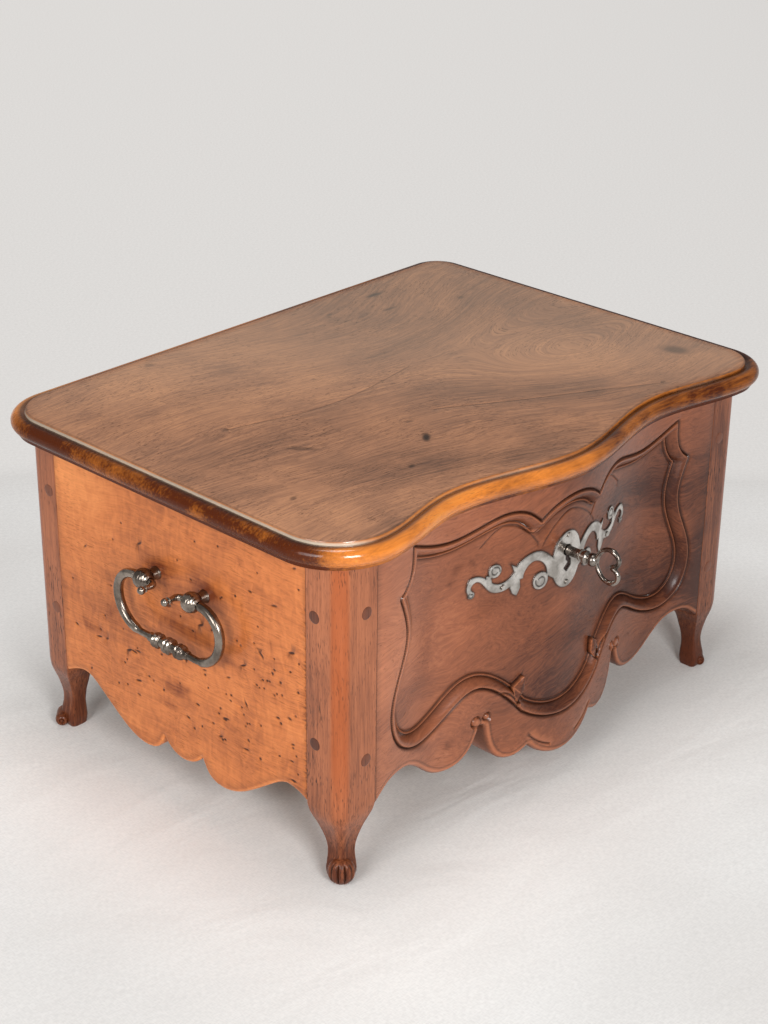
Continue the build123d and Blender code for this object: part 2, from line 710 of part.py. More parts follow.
with BuildPart() as lock_plate:
    add(block((-LOCK_PLATE_HALF, FRONT_INSIDE, LOCK_PLATE_BOTTOM), (LOCK_PLATE_HALF, LOCK_FACE, LOCK_TOP)))
    for x in GUIDE_XS:
        add(rod((x, LOCK_FACE, guide_z), (0, 1, 0), GUIDE_COLLAR, bolt_front - COLLAR_GAP - LOCK_FACE))
        add(rod((x, LOCK_FACE, guide_z), (0, 1, 0), GUIDE_RADIUS, case_inside - LOCK_FACE))
    extrude(keyhole(KEY_SHANK + RUNNING), amount=REACH, both=True, mode=Mode.SUBTRACT)
    cut_each(lock_screws)
save(lock_plate.part, "lock_plate")

with BuildPart() as lock_case:
    add(
        block(
            (-LOCK_HALF_WIDTH, LOCK_FACE, LOCK_BOTTOM), (LOCK_HALF_WIDTH, LOCK_FACE + LOCK_DEPTH, LOCK_TOP)
        )
    )
    add(
        block(
            (LOCK_WALL - LOCK_HALF_WIDTH, LOCK_FACE, LOCK_BOTTOM + LOCK_WALL),
            (LOCK_HALF_WIDTH - LOCK_WALL, case_inside, LOCK_TOP - LOCK_WALL),
        ),
        mode=Mode.SUBTRACT,
    )
    add(
        block((-STAPLE_SLOT, LOCK_FACE, LOCK_TOP - LOCK_WALL), (STAPLE_SLOT, case_inside, LOCK_TOP)),
        mode=Mode.SUBTRACT,
    )
save(lock_case.part, "lock_case")

with BuildPart() as lock_bolt:
    with BuildSketch(Plane.XZ.offset(-bolt_front)):
        with BuildLine():
            Polyline(
                (BOLT_LEFT, BOLT_BAR[0]), (BOLT_RIGHT, BOLT_BAR[0]), (BOLT_RIGHT, BOLT_BAR[1]),
                (BOLT_NECK, BOLT_BAR[1]), (BOLT_NECK, BOLT_TONGUE[0]), (BOLT_TIP, BOLT_TONGUE[0]),
                (BOLT_TIP, BOLT_TONGUE[1]), (BOLT_LEFT, BOLT_TONGUE[1]), close=True,
            )
        make_face()
        for x in GUIDE_XS:
            with Locations((x - BOLT_TRAVEL / 2, guide_z)):
                SlotCenterToCenter(
                    BOLT_TRAVEL + BOLT_SLACK, 2 * (GUIDE_RADIUS + RUNNING), mode=Mode.SUBTRACT
                )
    extrude(amount=-BOLT_THICKNESS)
save(lock_bolt.part, "lock_bolt")

with BuildPart() as lid_staple:
    plate_bottom = LID_UNDERSIDE - STAPLE_PLATE
    add(
        block(
            (-STAPLE_PLATE_HALF_WIDTH, BOLT_MIDDLE_Y - STAPLE_PLATE_HALF_DEPTH, plate_bottom),
            (STAPLE_PLATE_HALF_WIDTH, BOLT_MIDDLE_Y + STAPLE_PLATE_HALF_DEPTH, LID_UNDERSIDE),
        )
    )
    add(
        block(
            (-STAPLE_HALF, BOLT_MIDDLE_Y - STAPLE_LOOP, plate_bottom - STAPLE_DROP),
            (STAPLE_HALF, BOLT_MIDDLE_Y + STAPLE_LOOP, plate_bottom),
        )
    )
    add(
        block(
            (-STAPLE_HALF, BOLT_MIDDLE_Y - STAPLE_EYE, BOLT_TONGUE[0] - STAPLE_EYE_PLAY),
            (STAPLE_HALF, BOLT_MIDDLE_Y + STAPLE_EYE, BOLT_TONGUE[1] + STAPLE_EYE_PLAY),
        ),
        mode=Mode.SUBTRACT,
    )
    cut_each(staple_screws)
save(lid_staple.part, "lid_staple")

# ---- escutcheon -----------------------------------------------------------------------------------
with BuildPart() as escutcheon:
    with BuildSketch(Plane.XZ):
        with BuildLine():
            Spline((10, 156), (19, 165.5), (26, 168.4), (33, 167.4), (41, 162.3))
            Polyline((41, 162.3), (44.7, 164.3), (42.6, 158.6))
            Spline((42.6, 158.6), (47, 155), (53, 153.8), (58.4, 156.2))
            Polyline((58.4, 156.2), (59.2, 161), (62.4, 161.5), (62.8, 159.6))
            Spline((62.8, 159.6), (68, 162.8), (73.5, 162.6), (76.4, 157), (74.6, 151.8))
            Line((74.6, 151.8), (71.6, 153.2))
            Spline((71.6, 153.2), (72.9, 157.6), (69.6, 159.5), (65, 156.6), (58.6, 149.6), (52, 148),
                   (45.8, 149.6))
            Polyline((45.8, 149.6), (43.6, 144.4), (40.5, 142.3), (38, 147.2), (38.4, 152.9), (36, 152.9))
            Spline((36, 152.9), (34.2, 158.6), (28, 162.3), (21.4, 159.4), (18.2, 150))
            Polyline((18.2, 150), (12, 145.6), (10, 156))
        make_face()
        for place, radius in SCROLL_ENDS:
            with Locations(place):
                Circle(radius)
        mirror(about=Plane.YZ)
        with Locations((0, OVAL_Z)):
            Ellipse(OVAL_HALF_WIDTH, OVAL_HALF_HEIGHT)
        with Locations((0, KEY_Z)):
            Circle(KEYHOLE_RADIUS, mode=Mode.SUBTRACT)
        with BuildLine():
            Polyline(
                (-1.7, KEY_Z), (-1.7, 155), (0.6, 152.6), (-3.4, 149.4), (-0.6, 146.6), (3.6, 150),
                (3.4, 153.8), (1.7, 155.6), (1.7, KEY_Z), close=True,
            )
        make_face(mode=Mode.SUBTRACT)
    extrude(amount=REACH, both=True)
    add(escutcheon_slab, mode=Mode.INTERSECT)
    cut_each(escutcheon_pins.part.solids())
save(escutcheon.part, "escutcheon")

# ---- key ------------------------------------------------------------------------------------------
with BuildPart() as key:
    with BuildSketch(Plane.XY.offset(KEY_Z)):
        with BuildLine():
            Polyline(
                (0, KEY_INNER_END), (KEY_SHANK, KEY_INNER_END), (KEY_SHANK, -138.8), (3.9, -139.6),
                (3.9, -140.6), (KEY_SHANK, -141.2), (KEY_SHANK, -142), (4.2, -142.8), (4.2, -144.4),
                (3.4, -145.2), (2.6, KEY_BALL_Y), (0, KEY_BALL_Y), close=True,
            )
        make_face()
    revolve(axis=Axis((0, 0, KEY_Z), (0, 1, 0)))
    with Locations((0, KEY_BALL_Y, KEY_Z)):
        Sphere(KEY_BALL)
    add(block((-BIT_THICKNESS / 2, BIT_FRONT, KEY_Z - BIT_REACH), (BIT_THICKNESS / 2, BIT_BACK, KEY_Z)))
    # the bow: two round lobes of wire, joined where they leave the ball and where they meet behind
    with BuildLine(Plane.YZ.offset(0)) as bow:
        wire = Spline(
            (BOW_NECK_Y, KEY_Z + 1.2), (BOW_LOBE_Y + 1, KEY_Z + BOW_HALF), (BOW_END_Y, KEY_Z + BOW_HALF / 2),
            (BOW_NOTCH_Y, KEY_Z),
            tangents=((-0.3, 1), (-1, 0), (0, -1), (1, -0.6)),
        )
    with BuildSketch(Plane(wire @ 0, z_dir=wire % 0)):
        Circle(BOW_WIRE)
    sweep(path=wire)
    mirror(about=Plane.XY.offset(KEY_Z))
save(key.part, "key")

# ---- handles --------------------------------------------------------------------------------------
with BuildPart() as right_bail:
    # drop handle: a bent rod with turned knops, whose thin ends turn in the studs and curl outwards
    pivot_x = BODY_HALF_WIDTH + BAIL_STAND_OFF
    foot_bend = BAIL_DROP - BAIL_SHOULDER
    straight = BAIL_HALF_SPAN - foot_bend
    with BuildLine(Plane((pivot_x, HANDLE_Y, HANDLE_Z), x_dir=(0, 1, 0), z_dir=(1, 0, 0))) as bent:
        JernArc((-BAIL_START, 0), (-1, 0), BAIL_SHOULDER, 90)
        JernArc((-BAIL_HALF_SPAN, -BAIL_SHOULDER), (0, -1), foot_bend, 90)
        Line((-straight, -BAIL_DROP), (straight, -BAIL_DROP))
        JernArc((straight, -BAIL_DROP), (1, 0), foot_bend, 90)
        JernArc((BAIL_HALF_SPAN, -BAIL_SHOULDER), (0, 1), BAIL_SHOULDER, 90)
    with BuildSketch(Plane(bent.line @ 0, z_dir=bent.line % 0)):
        Circle(BAIL_RADIUS)
    sweep(path=bent.line)
    for end in (-1, 1):
        taper = [(0, BAIL_RADIUS), (BAIL_TAPER, PIVOT_RADIUS)]
        add(turned(taper, (pivot_x, HANDLE_Y + end * BAIL_START, HANDLE_Z), (0, -end, 0)))
        bend_y = HANDLE_Y + end * (TAIL_FROM_MIDDLE + TAIL_BEND)
        thin_length = BAIL_START - BAIL_TAPER - TAIL_FROM_MIDDLE - TAIL_BEND
        add(rod((pivot_x, bend_y, HANDLE_Z), (0, end, 0), PIVOT_RADIUS, thin_length))
        with BuildSketch(Plane((pivot_x, bend_y, HANDLE_Z), z_dir=(0, -end, 0))):
            Circle(PIVOT_RADIUS)
        revolve(axis=Axis((pivot_x + TAIL_BEND, bend_y, HANDLE_Z), (0, 0, end)), revolution_arc=90)
        tail_y = HANDLE_Y + end * TAIL_FROM_MIDDLE
        tail_run = TAIL_LENGTH - TAIL_BEND
        add(rod((pivot_x + TAIL_BEND, tail_y, HANDLE_Z), (1, 0, 0), PIVOT_RADIUS - 0.4, tail_run))
        with Locations((pivot_x + TAIL_LENGTH, tail_y, HANDLE_Z)):
            Sphere(TAIL_BALL)
    for along, radius, half_length in KNOPS:
        ring = [
            (-half_length, BAIL_RADIUS - 0.2), (-half_length / 2, radius), (half_length / 2, radius),
            (half_length, BAIL_RADIUS - 0.2),
        ]
        add(turned(ring, (pivot_x, HANDLE_Y + along, HANDLE_Z - BAIL_DROP), (0, 1, 0)))
save(right_bail.part, "right_bail")

with BuildPart() as left_bail:
    add(right_bail.part.mirror(Plane.YZ))
save(left_bail.part, "left_bail")


def studs(side):
    """The two drilled studs of one handle, threaded inside the chest."""
    with BuildPart() as pair:
        for y in (HANDLE_Y - STUD_SPAN / 2, HANDLE_Y + STUD_SPAN / 2):
            face = (side * BODY_HALF_WIDTH, y, HANDLE_Z)
            shank = [(-PANEL - STUD_INSIDE, STUD_SHANK), (0, STUD_SHANK)]
            base = [(0, 5.0), (1.2, 5.0), (2.2, 3.6), (BAIL_STAND_OFF - 4.6, 3.2)]
            add(turned(shank, face, (side, 0, 0)))
            add(turned(base, face, (side, 0, 0)))
            with Locations((side * (BODY_HALF_WIDTH + BAIL_STAND_OFF), y, HANDLE_Z)):
                Sphere(STUD_HEAD)
            hole_start = (side * (BODY_HALF_WIDTH + BAIL_STAND_OFF), y - STUD_HEAD, HANDLE_Z)
            add(rod(hole_start, (0, 1, 0), PIVOT_RADIUS + RUNNING, 2 * STUD_HEAD), mode=Mode.SUBTRACT)
    return pair.part


def inside_ring(side, near, thickness, sketch_piece):
    """Two washers or nuts round the studs inside one end board."""
    with BuildPart() as pair:
        start_x = side * (SIDE_INSIDE - near)
        with BuildSketch(Plane((start_x, HANDLE_Y, HANDLE_Z), x_dir=(0, 1, 0), z_dir=(-side, 0, 0))):
            with Locations((-STUD_SPAN / 2, 0), (STUD_SPAN / 2, 0)):
                sketch_piece()
                Circle(STUD_SHANK, mode=Mode.SUBTRACT)
        extrude(amount=thickness)
    return pair.part


for name, side in LEFT_RIGHT:
    save(studs(side), f"{name}_handle_studs")
    save(inside_ring(side, 0, WASHER, lambda: Circle(WASHER_RADIUS)), f"{name}_handle_washers")
    save(inside_ring(side, WASHER, NUT, lambda: Rectangle(NUT_ACROSS, NUT_ACROSS)), f"{name}_handle_nuts")
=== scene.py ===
"""Looks of the walnut letter box: carved boards, moulded lid, forged handles, lock furniture, wood and iron finishes.

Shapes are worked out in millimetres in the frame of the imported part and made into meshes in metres.
"""
from math import atan2, cos, pi, radians, sin, sqrt

import bmesh
import bpy
import numpy as np
from mathutils import Matrix, Vector
from mathutils.geometry import delaunay_2d_cdt
from mathutils.kdtree import KDTree


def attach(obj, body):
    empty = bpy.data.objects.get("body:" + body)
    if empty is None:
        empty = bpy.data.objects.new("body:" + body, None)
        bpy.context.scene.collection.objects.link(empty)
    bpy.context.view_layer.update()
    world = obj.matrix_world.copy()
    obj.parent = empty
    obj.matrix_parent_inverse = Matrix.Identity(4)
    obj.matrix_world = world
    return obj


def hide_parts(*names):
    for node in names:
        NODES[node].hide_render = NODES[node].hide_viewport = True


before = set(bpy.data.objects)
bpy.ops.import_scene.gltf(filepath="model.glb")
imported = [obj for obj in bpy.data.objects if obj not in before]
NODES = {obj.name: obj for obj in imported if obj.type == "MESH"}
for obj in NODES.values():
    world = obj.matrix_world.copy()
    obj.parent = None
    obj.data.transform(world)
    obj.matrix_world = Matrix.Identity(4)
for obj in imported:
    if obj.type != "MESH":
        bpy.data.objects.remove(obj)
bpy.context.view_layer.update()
LEFT_RIGHT = (("left", -1), ("right", 1))
MM = 0.001

# ---- sizes of the box, in millimetres ---------------------------------------------------------------
LID_HALF_WIDTH, LID_BACK, LID_UNDERSIDE, LID_TOP = 209.5, 170.0, 215.0, 230.5
LID_CORNERS = (46.5, 35.0, 24.0, 39.0)   # radii, going round from the front left to the back left
LID_FRONT_MIDDLE, LID_FRONT_RECESS, LID_FRONT_CROWN, LID_RECESS_X = -144.0, -126.5, -138.0, 97.0
BODY_HALF_WIDTH, BODY_FRONT, BODY_BACK, BODY_TOP = 191.0, -121.5, 151.5, 214.7
POST, FRONT_POST_DEPTH, BACK_POST_DEPTH = 30.0, 27.0, 24.0
# left or right, front or back, radius of the outer corner, distance of the toe, radius of the toe
POSTS = {
    "front_left": (-1, -1, 9.0, 10.6, 4.6),
    "front_right": (1, -1, 14.0, 7.4, 3.4),
    "back_left": (-1, 1, 9.0, 9.8, 4.4),
    "back_right": (1, 1, 9.0, 9.8, 4.4),
}
JOINT_X = BODY_HALF_WIDTH - POST
FRONT_JOINT, BACK_JOINT = BODY_FRONT + FRONT_POST_DEPTH, BODY_BACK - BACK_POST_DEPTH
BODY_MIDDLE, FRONT_INSIDE, PANEL, BACK_EDGE = 15.0, -97.5, 15.0, 55.0
PEG_RADIUS, PEG_RISE, PEG_FROM_JOINT, SIDE_PEG_FROM_JOINT = 4.0, 0.35, 8.7, 6.8
FRONT_PEG_HEIGHTS, SIDE_PEG_HEIGHTS = (83.5, 180.0), (95.0, 178.0)
FRONT_BOW, FRONT_HOLLOW, HOLLOW_X = -134.5, -116.0, 104.0
FIELD_DEPTH, ESCUTCHEON, KEY_Z, KEYHOLE = 5.5, 1.2, 161.0, 3.7
HANDLE_Y, HANDLE_Z, PIVOT_X = 11.5, 157.0, 201.5
STUD_SPAN, STUD_HEAD, STUD_BORE = 43.0, 6.5, 2.5
# leg sections upwards: height, side, shift outwards, share of the outer radius, side radius, inner radius
LEG_SECTIONS = (
    (0.0, 12.0, 1.8, 0.4, 2.8, 2.8),
    (4.0, 14.4, 2.2, 0.42, 3.0, 3.2),
    (9.0, 14.4, 2.2, 0.42, 2.6, 3.2),
    (15.5, 12.6, 1.6, 0.4, 1.8, 2.8),
    (22.0, 12.4, 1.0, 0.4, 1.2, 2.6),
    (31.0, 16.2, 0.8, 0.55, 1.0, 3.6),
    (40.0, 22.4, 0.9, 0.8, 0.8, 6.0),
    (47.0, 28.0, 0.4, 0.95, 0.6, 8.0),
    (52.0, 30.0, 0.0, 1.0, 0.5, 5.0),
)
LEG_TOP, ANKLE, TOE_HEIGHT, TOE_DRAWN = 52.0, 12.4, 4.8, 4.6      # the toe is drawn at a radius of 4.6
BOARD_SHARP, HAIR = 38.0, 0.2      # the turn in degrees from which an edge stays sharp, and a hair's breadth


# ---- drawing lines ----------------------------------------------------------------------------------
def ease(t):
    """A smooth step from 0 to 1."""
    t = np.clip(t, 0, 1)
    return t * t * (3 - 2 * t)


def bell(distance, width):
    """1 at no distance, falling to nothing a few widths away."""
    return np.exp(-((distance / width) ** 2))


def even_steps(points, step, closed=False):
    """The same line with points an even step apart."""
    points = np.array(points, float)
    if closed:
        points = np.vstack([points, points[:1]])
    along = np.concatenate([[0], np.cumsum(np.linalg.norm(np.diff(points, axis=0), axis=1))])
    count = max(2, int(round(along[-1] / step)) + 1)
    stops = np.linspace(0, along[-1], count)
    made = np.stack([np.interp(stops, along, points[:, k]) for k in range(points.shape[1])], 1)
    return made[:-1] if closed else made


def smooth_line(points, start=None, end=None, step=1.0):
    """A smooth line through points; start and end are the directions at its ends, free where not given."""
    points = np.array(points, float)
    run = np.linalg.norm(np.diff(points, axis=0), axis=1)
    slope = np.diff(points, axis=0) / run[:, None]
    count = len(points)
    rows, right = np.zeros((count, count)), np.zeros_like(points)
    for i in range(1, count - 1):
        rows[i, i - 1 : i + 2] = run[i], 2 * (run[i - 1] + run[i]), run[i - 1]
        right[i] = 3 * (run[i] * slope[i - 1] + run[i - 1] * slope[i])
    for i, j, way, chord in ((0, 1, start, slope[0]), (count - 1, count - 2, end, slope[-1])):
        if way is None:
            rows[i, i], rows[i, j], right[i] = 2, 1, 3 * chord
        else:
            rows[i, i], right[i] = 1, np.array(way, float) / np.linalg.norm(way)
    turn = np.linalg.solve(rows, right)
    made = []
    for i, length in enumerate(run):
        t = np.linspace(0, 1, 24, endpoint=i == count - 2)[:, None]
        made.append(
            (2 * t**3 - 3 * t**2 + 1) * points[i]
            + (t**3 - 2 * t**2 + t) * length * turn[i]
            + (3 * t**2 - 2 * t**3) * points[i + 1]
            + (t**3 - t**2) * length * turn[i + 1]
        )
    return even_steps(np.vstack(made), step)


def arc_through(a, b, c, step=1.0):
    """An arc from a through b to c."""
    (ax, ay), (bx, by), (cx, cy) = a, b, c
    d = 2 * (ax * (by - cy) + bx * (cy - ay) + cx * (ay - by))
    ux = ((ax**2 + ay**2) * (by - cy) + (bx**2 + by**2) * (cy - ay) + (cx**2 + cy**2) * (ay - by)) / d
    uy = ((ax**2 + ay**2) * (cx - bx) + (bx**2 + by**2) * (ax - cx) + (cx**2 + cy**2) * (bx - ax)) / d
    first, middle, last = (atan2(y - uy, x - ux) for x, y in (a, b, c))
    middle, last = (first + (angle - first) % (2 * pi) for angle in (middle, last))
    if middle > last:
        last -= 2 * pi
    angles = np.linspace(first, last, 60)
    radius = sqrt((ax - ux) ** 2 + (ay - uy) ** 2)
    return even_steps(np.stack([ux + radius * np.cos(angles), uy + radius * np.sin(angles)], 1), step)


def middle_arc(height, end_x, end_z):
    """The right half of an arc centred on the middle line: from its middle, at height, to its end."""
    centre = (end_x**2 + end_z**2 - height**2) / (2 * (end_z - height))
    radius, way = abs(height - centre), 1 if height > centre else -1
    last = atan2(end_x, way * (end_z - centre))
    angles = np.linspace(0, last, 60)
    return even_steps(np.stack([radius * np.sin(angles), centre + way * radius * np.cos(angles)], 1), 1.0)


def mirrored(half):
    """A closed line from its right half, which starts and ends on the middle line."""
    other = half[::-1] * [-1, 1]
    return np.vstack([half, other[1:-1]])


def joined(*stretches):
    """One line from stretches that follow each other."""
    return np.vstack([stretches[0], *[s[1:] for s in stretches[1:]]])


def both_sides(half):
    """An open line from its right half, which starts on the middle line."""
    return joined(half[::-1] * [-1, 1], half)


def nearest(points, path, closed=True):
    """Distance from each point to path, and how far along the path its nearest place is."""
    points, path = np.asarray(points, float), np.asarray(path, float)
    a, b = (path, np.roll(path, -1, axis=0)) if closed else (path[:-1], path[1:])
    way = b - a
    size = np.maximum((way**2).sum(1), 1e-12)
    before = np.concatenate([[0], np.cumsum(np.sqrt(size))[:-1]])
    best, place = [], []
    for chunk in np.array_split(points, max(1, len(points) // 1500)):
        t = np.clip(((chunk[:, None] - a) * way).sum(2) / size, 0, 1)
        gap = np.linalg.norm(chunk[:, None] - (a + t[..., None] * way), axis=2)
        pick = gap.argmin(1)
        row = np.arange(len(chunk))
        best.append(gap[row, pick])
        place.append(before[pick] + t[row, pick] * np.sqrt(size[pick]))
    return np.concatenate(best), np.concatenate(place)


def within(points, loop):
    """True for the points inside a closed line."""
    x, y = np.asarray(points, float).T
    hit = np.zeros(len(x), bool)
    for (ax, ay), (bx, by) in zip(loop, np.roll(loop, -1, axis=0)):
        if ay != by:
            crosses = (ay > y) != (by > y)
            hit ^= crosses & (x < (bx - ax) * (y - ay) / (by - ay) + ax)
    return hit


def ways_of(path, closed=True):
    """Unit steps along a path and to its left, at each of its points."""
    way = np.roll(path, -1, axis=0) - np.roll(path, 1, axis=0) if closed else np.gradient(path, axis=0)
    way /= np.linalg.norm(way, axis=1)[:, None]
    return way, np.stack([-way[:, 1], way[:, 0]], 1)


def rows_beside(path, offsets, step, closed=True):
    """Points on lines beside a path, at each signed offset, left of its direction positive."""
    path = even_steps(path, step, closed)
    way, side = ways_of(path, closed)
    kept = []
    for number, offset in enumerate(offsets):
        shift = 0.5 * step * (number % 2)
        row = path + side * offset + way * shift
        gap, _ = nearest(row, path, closed)
        kept.append(row[np.abs(gap - abs(offset)) < 0.04 + 0.05 * abs(offset)])
    return np.vstack(kept)


def clear_of(taken, points, least):
    """Those of the points that are not nearer than least to one already taken."""
    tree = KDTree(len(taken))
    for i, (x, y) in enumerate(taken):
        tree.insert((x, y, 0), i)
    tree.balance()
    return [(x, y) for x, y in points if tree.find((x, y, 0))[2] >= least]


def spread(batches, least):
    """All points of the batches in order, leaving out those nearer than least to one already taken."""
    taken = []
    for batch in batches:
        taken += clear_of(taken, batch, least) if taken else [tuple(p) for p in batch]
    return np.array(taken)


def field_points(low, high, step, keep_off, least):
    """A staggered grid of points between two corners, at least so far from the points of keep_off."""
    made = [
        (x, y)
        for row, y in enumerate(np.arange(low[1], high[1], step * 0.87))
        for x in np.arange(low[0] + step / 2 * (row % 2), high[0], step)
    ]
    return np.array(clear_of(keep_off, made, least))


# ---- making meshes ----------------------------------------------------------------------------------
def new_object(name, mesh):
    made = bpy.data.objects.new(name, mesh)
    bpy.context.scene.collection.objects.link(made)
    return made


def mesh_of(name, build, sharp=None, scale=1.0):
    """A mesh from a bmesh, scaled, and smooth between the edges that turn by more than sharp degrees."""
    mesh = bpy.data.meshes.new(name)
    build.to_mesh(mesh)
    build.free()
    mesh.transform(Matrix.Scale(scale, 4))
    if sharp:
        mesh.shade_smooth()
        mesh.set_sharp_from_angle(angle=radians(sharp))
    return mesh


def finish_mesh(name, build, sharp=40.0, marks=None):
    """An object from a bmesh in millimetres, its faces turned outwards and its points marked."""
    bmesh.ops.recalc_face_normals(build, faces=build.faces)
    mesh = mesh_of(name, build, sharp, MM)
    for mark, values in (marks or {}).items():
        layer = mesh.attributes.new(mark, "FLOAT", "POINT")
        padded = np.zeros(len(mesh.vertices))
        padded[: len(values)] = values
        layer.data.foreach_set("value", padded)
    return new_object(name, mesh)


def lay_grain(piece, flow):
    """Mark every point of a piece with its place in the grain, as flow gives it from millimetres."""
    places = np.array([tuple(v.co) for v in piece.data.vertices]) / MM
    layer = piece.data.attributes.new("grain", "FLOAT_VECTOR", "POINT")
    layer.data.foreach_set("vector", (flow(places) * MM).ravel())


def cut_sheet(points, loops):
    """Triangles over the area inside the first loop and outside the others, using the free points too."""
    stacked, edges = [], []
    for loop in loops:
        first = sum(len(s) for s in stacked)
        edges += [(first + i, first + (i + 1) % len(loop)) for i in range(len(loop))]
        stacked.append(np.asarray(loop, float))
    if len(points):
        inner = within(points, loops[0])
        for hole in loops[1:]:
            inner &= ~within(points, hole)
        stacked.append(np.asarray(points)[inner])
    given = [Vector(p) for p in np.vstack(stacked)]
    corners, _, faces = delaunay_2d_cdt(given, edges, [], 0, 1e-6, False)[:3]
    corners = np.array([tuple(c) for c in corners])
    faces = np.array(faces)
    middle = corners[faces].mean(1)
    keep = within(middle, loops[0])
    for hole in loops[1:]:
        keep &= ~within(middle, hole)
    return corners, faces[keep]


def skin(build, rows):
    """Faces between closed rows of points, one row after another."""
    for low, high in zip(rows, rows[1:]):
        for i in range(len(low)):
            j = (i + 1) % len(low)
            build.faces.new((low[i], low[j], high[j], high[i]))


def carved_board(name, loops, points, relief, front, back, stain_and_shade=None):
    """A carved board: relief gives the depth, the darkening of grooves and painted shade, and the lightening of edges
    and painted highlights at each point; front and back place it.
    """
    corners, faces = cut_sheet(points, loops)
    depth, groove, edge_and_highlight = relief(corners)
    build = bmesh.new()
    top = [build.verts.new(p) for p in front(corners, depth)]
    for a, b, c in faces:
        build.faces.new((top[a], top[b], top[c]))
    marks = {"groove": groove, "edge_and_highlight": edge_and_highlight}
    if stain_and_shade:
        marks["stain_and_shade"] = stain_and_shade(corners)
    rim_edges = [e for e in build.edges if e.is_boundary]
    build.verts.index_update()
    if len(loops) > 1:
        under = [build.verts.new(p) for p in back(corners)]
        for a, b, c in faces:
            build.faces.new((under[c], under[b], under[a]))
        for e in rim_edges:
            a, b = (v.index for v in e.verts)
            build.faces.new((top[a], top[b], under[b], under[a]))
        return finish_mesh(name, build, BOARD_SHARP, marks)
    rim = list(dict.fromkeys(v.index for e in rim_edges for v in e.verts))
    below = {index: build.verts.new(place) for index, place in zip(rim, back(corners[rim]))}
    back_edges = []
    for e in rim_edges:
        a, b = e.verts
        c, d = below[b.index], below[a.index]
        build.faces.new((a, b, c, d))
        back_edges.append(build.edges.get((c, d)))
    bmesh.ops.triangle_fill(build, use_beauty=True, use_dissolve=False, edges=back_edges)
    return finish_mesh(name, build, BOARD_SHARP, marks)


def loft(name, rings, sharp=40.0, cap=True, marks=None):
    """A closed skin over rings with the same number of points, one after another, capped at both ends."""
    build = bmesh.new()
    rows = [[build.verts.new(p) for p in ring] for ring in rings]
    skin(build, rows)
    if cap:
        build.faces.new(rows[0][::-1])
        build.faces.new(rows[-1])
    return finish_mesh(name, build, sharp, marks)


def tube_rings(path, radii, around=24):
    """Rings of a round bar along a path in space, without twist."""
    path = np.array(path, float)
    way = np.gradient(path, axis=0)
    way /= np.linalg.norm(way, axis=1)[:, None]
    across = np.cross(way[0], (0.3, 0.5, 0.8))
    rings = []
    for place, forward, radius in zip(path, way, radii):
        across = across - forward * across.dot(forward)
        across /= np.linalg.norm(across)
        other = np.cross(forward, across)
        angles = np.linspace(0, 2 * pi, around, endpoint=False)[:, None]
        rings.append(place + radius * (np.cos(angles) * across + np.sin(angles) * other))
    return rings


def turned_rings(start, direction, profile, around=40):
    """Rings of a turned piece about an axis from start: profile holds distance and radius pairs."""
    start, direction = np.array(start, float), np.array(direction, float)
    path = [start + direction * distance for distance, _ in profile]
    forward = direction / np.linalg.norm(direction)
    across = np.cross(forward, (0.3, 0.5, 0.8))
    across /= np.linalg.norm(across)
    other = np.cross(forward, across)
    angles = np.linspace(0, 2 * pi, around, endpoint=False)[:, None]
    return [
        place + max(radius, 0.01) * (np.cos(angles) * across + np.sin(angles) * other)
        for place, (_, radius) in zip(path, profile)
    ]


def one_piece(name, pieces):
    """Several objects made into one."""
    build = bmesh.new()
    for piece in pieces:
        build.from_mesh(piece.data)
        bpy.data.meshes.remove(piece.data)
    return new_object(name, mesh_of(name, build, BOARD_SHARP))


# ---- finishes ---------------------------------------------------------------------------------------
def tone(*on_screen):
    """A colour given as red, green and blue from 0 to 255 on screen, as the shader wants it."""
    return (*[v / 255 / 12.92 if v <= 10 else ((v / 255 + 0.055) / 1.055) ** 2.4 for v in on_screen], 1.0)


def darker(colour, share):
    return (*[v * share for v in colour[:3]], 1)


def wire(socket, value):
    """Set a socket to a value, or link it to the socket of another node."""
    if isinstance(value, bpy.types.NodeSocket):
        socket.id_data.links.new(value, socket)
    else:
        socket.default_value = value


def put(tree, kind, settings=(), **inputs):
    """A node with its settings; each input takes a value or a socket of another node."""
    made = tree.nodes.new(kind)
    for name, value in dict(settings).items():
        setattr(made, name, value)
    for name, value in inputs.items():
        wire(made.inputs[name.replace("_", " ")], value)
    return made


def sums(tree, operation, a, b=0.0, clamp=False):
    """Maths on two numbers."""
    made = tree.nodes.new("ShaderNodeMath")
    made.operation, made.use_clamp = operation, clamp
    wire(made.inputs[0], a)
    wire(made.inputs[1], b)
    return made.outputs[0]


def vectors(tree, operation, a, b=None):
    """Maths on vectors; the result is a number where the operation gives one."""
    made = tree.nodes.new("ShaderNodeVectorMath")
    made.operation = operation
    wire(made.inputs[0], a)
    if b is not None:
        wire(made.inputs["Scale" if operation == "SCALE" else 1], b)
    return made.outputs["Value" if operation in ("DOT_PRODUCT", "LENGTH") else "Vector"]


def blend_colours(tree, factor, a, b):
    made = tree.nodes.new("ShaderNodeMix")
    made.data_type, made.clamp_factor = "RGBA", True
    wire(made.inputs[0], factor)
    wire(made.inputs[6], a)
    wire(made.inputs[7], b)
    return made.outputs[2]


def between(tree, value, low, high, to_low=0.0, to_high=1.0):
    """Value brought from the range low to high to another range, held at its ends, eased."""
    made = put(
        tree, "ShaderNodeMapRange", {"interpolation_type": "SMOOTHSTEP"},
        Value=value, From_Min=low, From_Max=high, To_Min=to_low, To_Max=to_high,
    )
    return made.outputs["Result"]


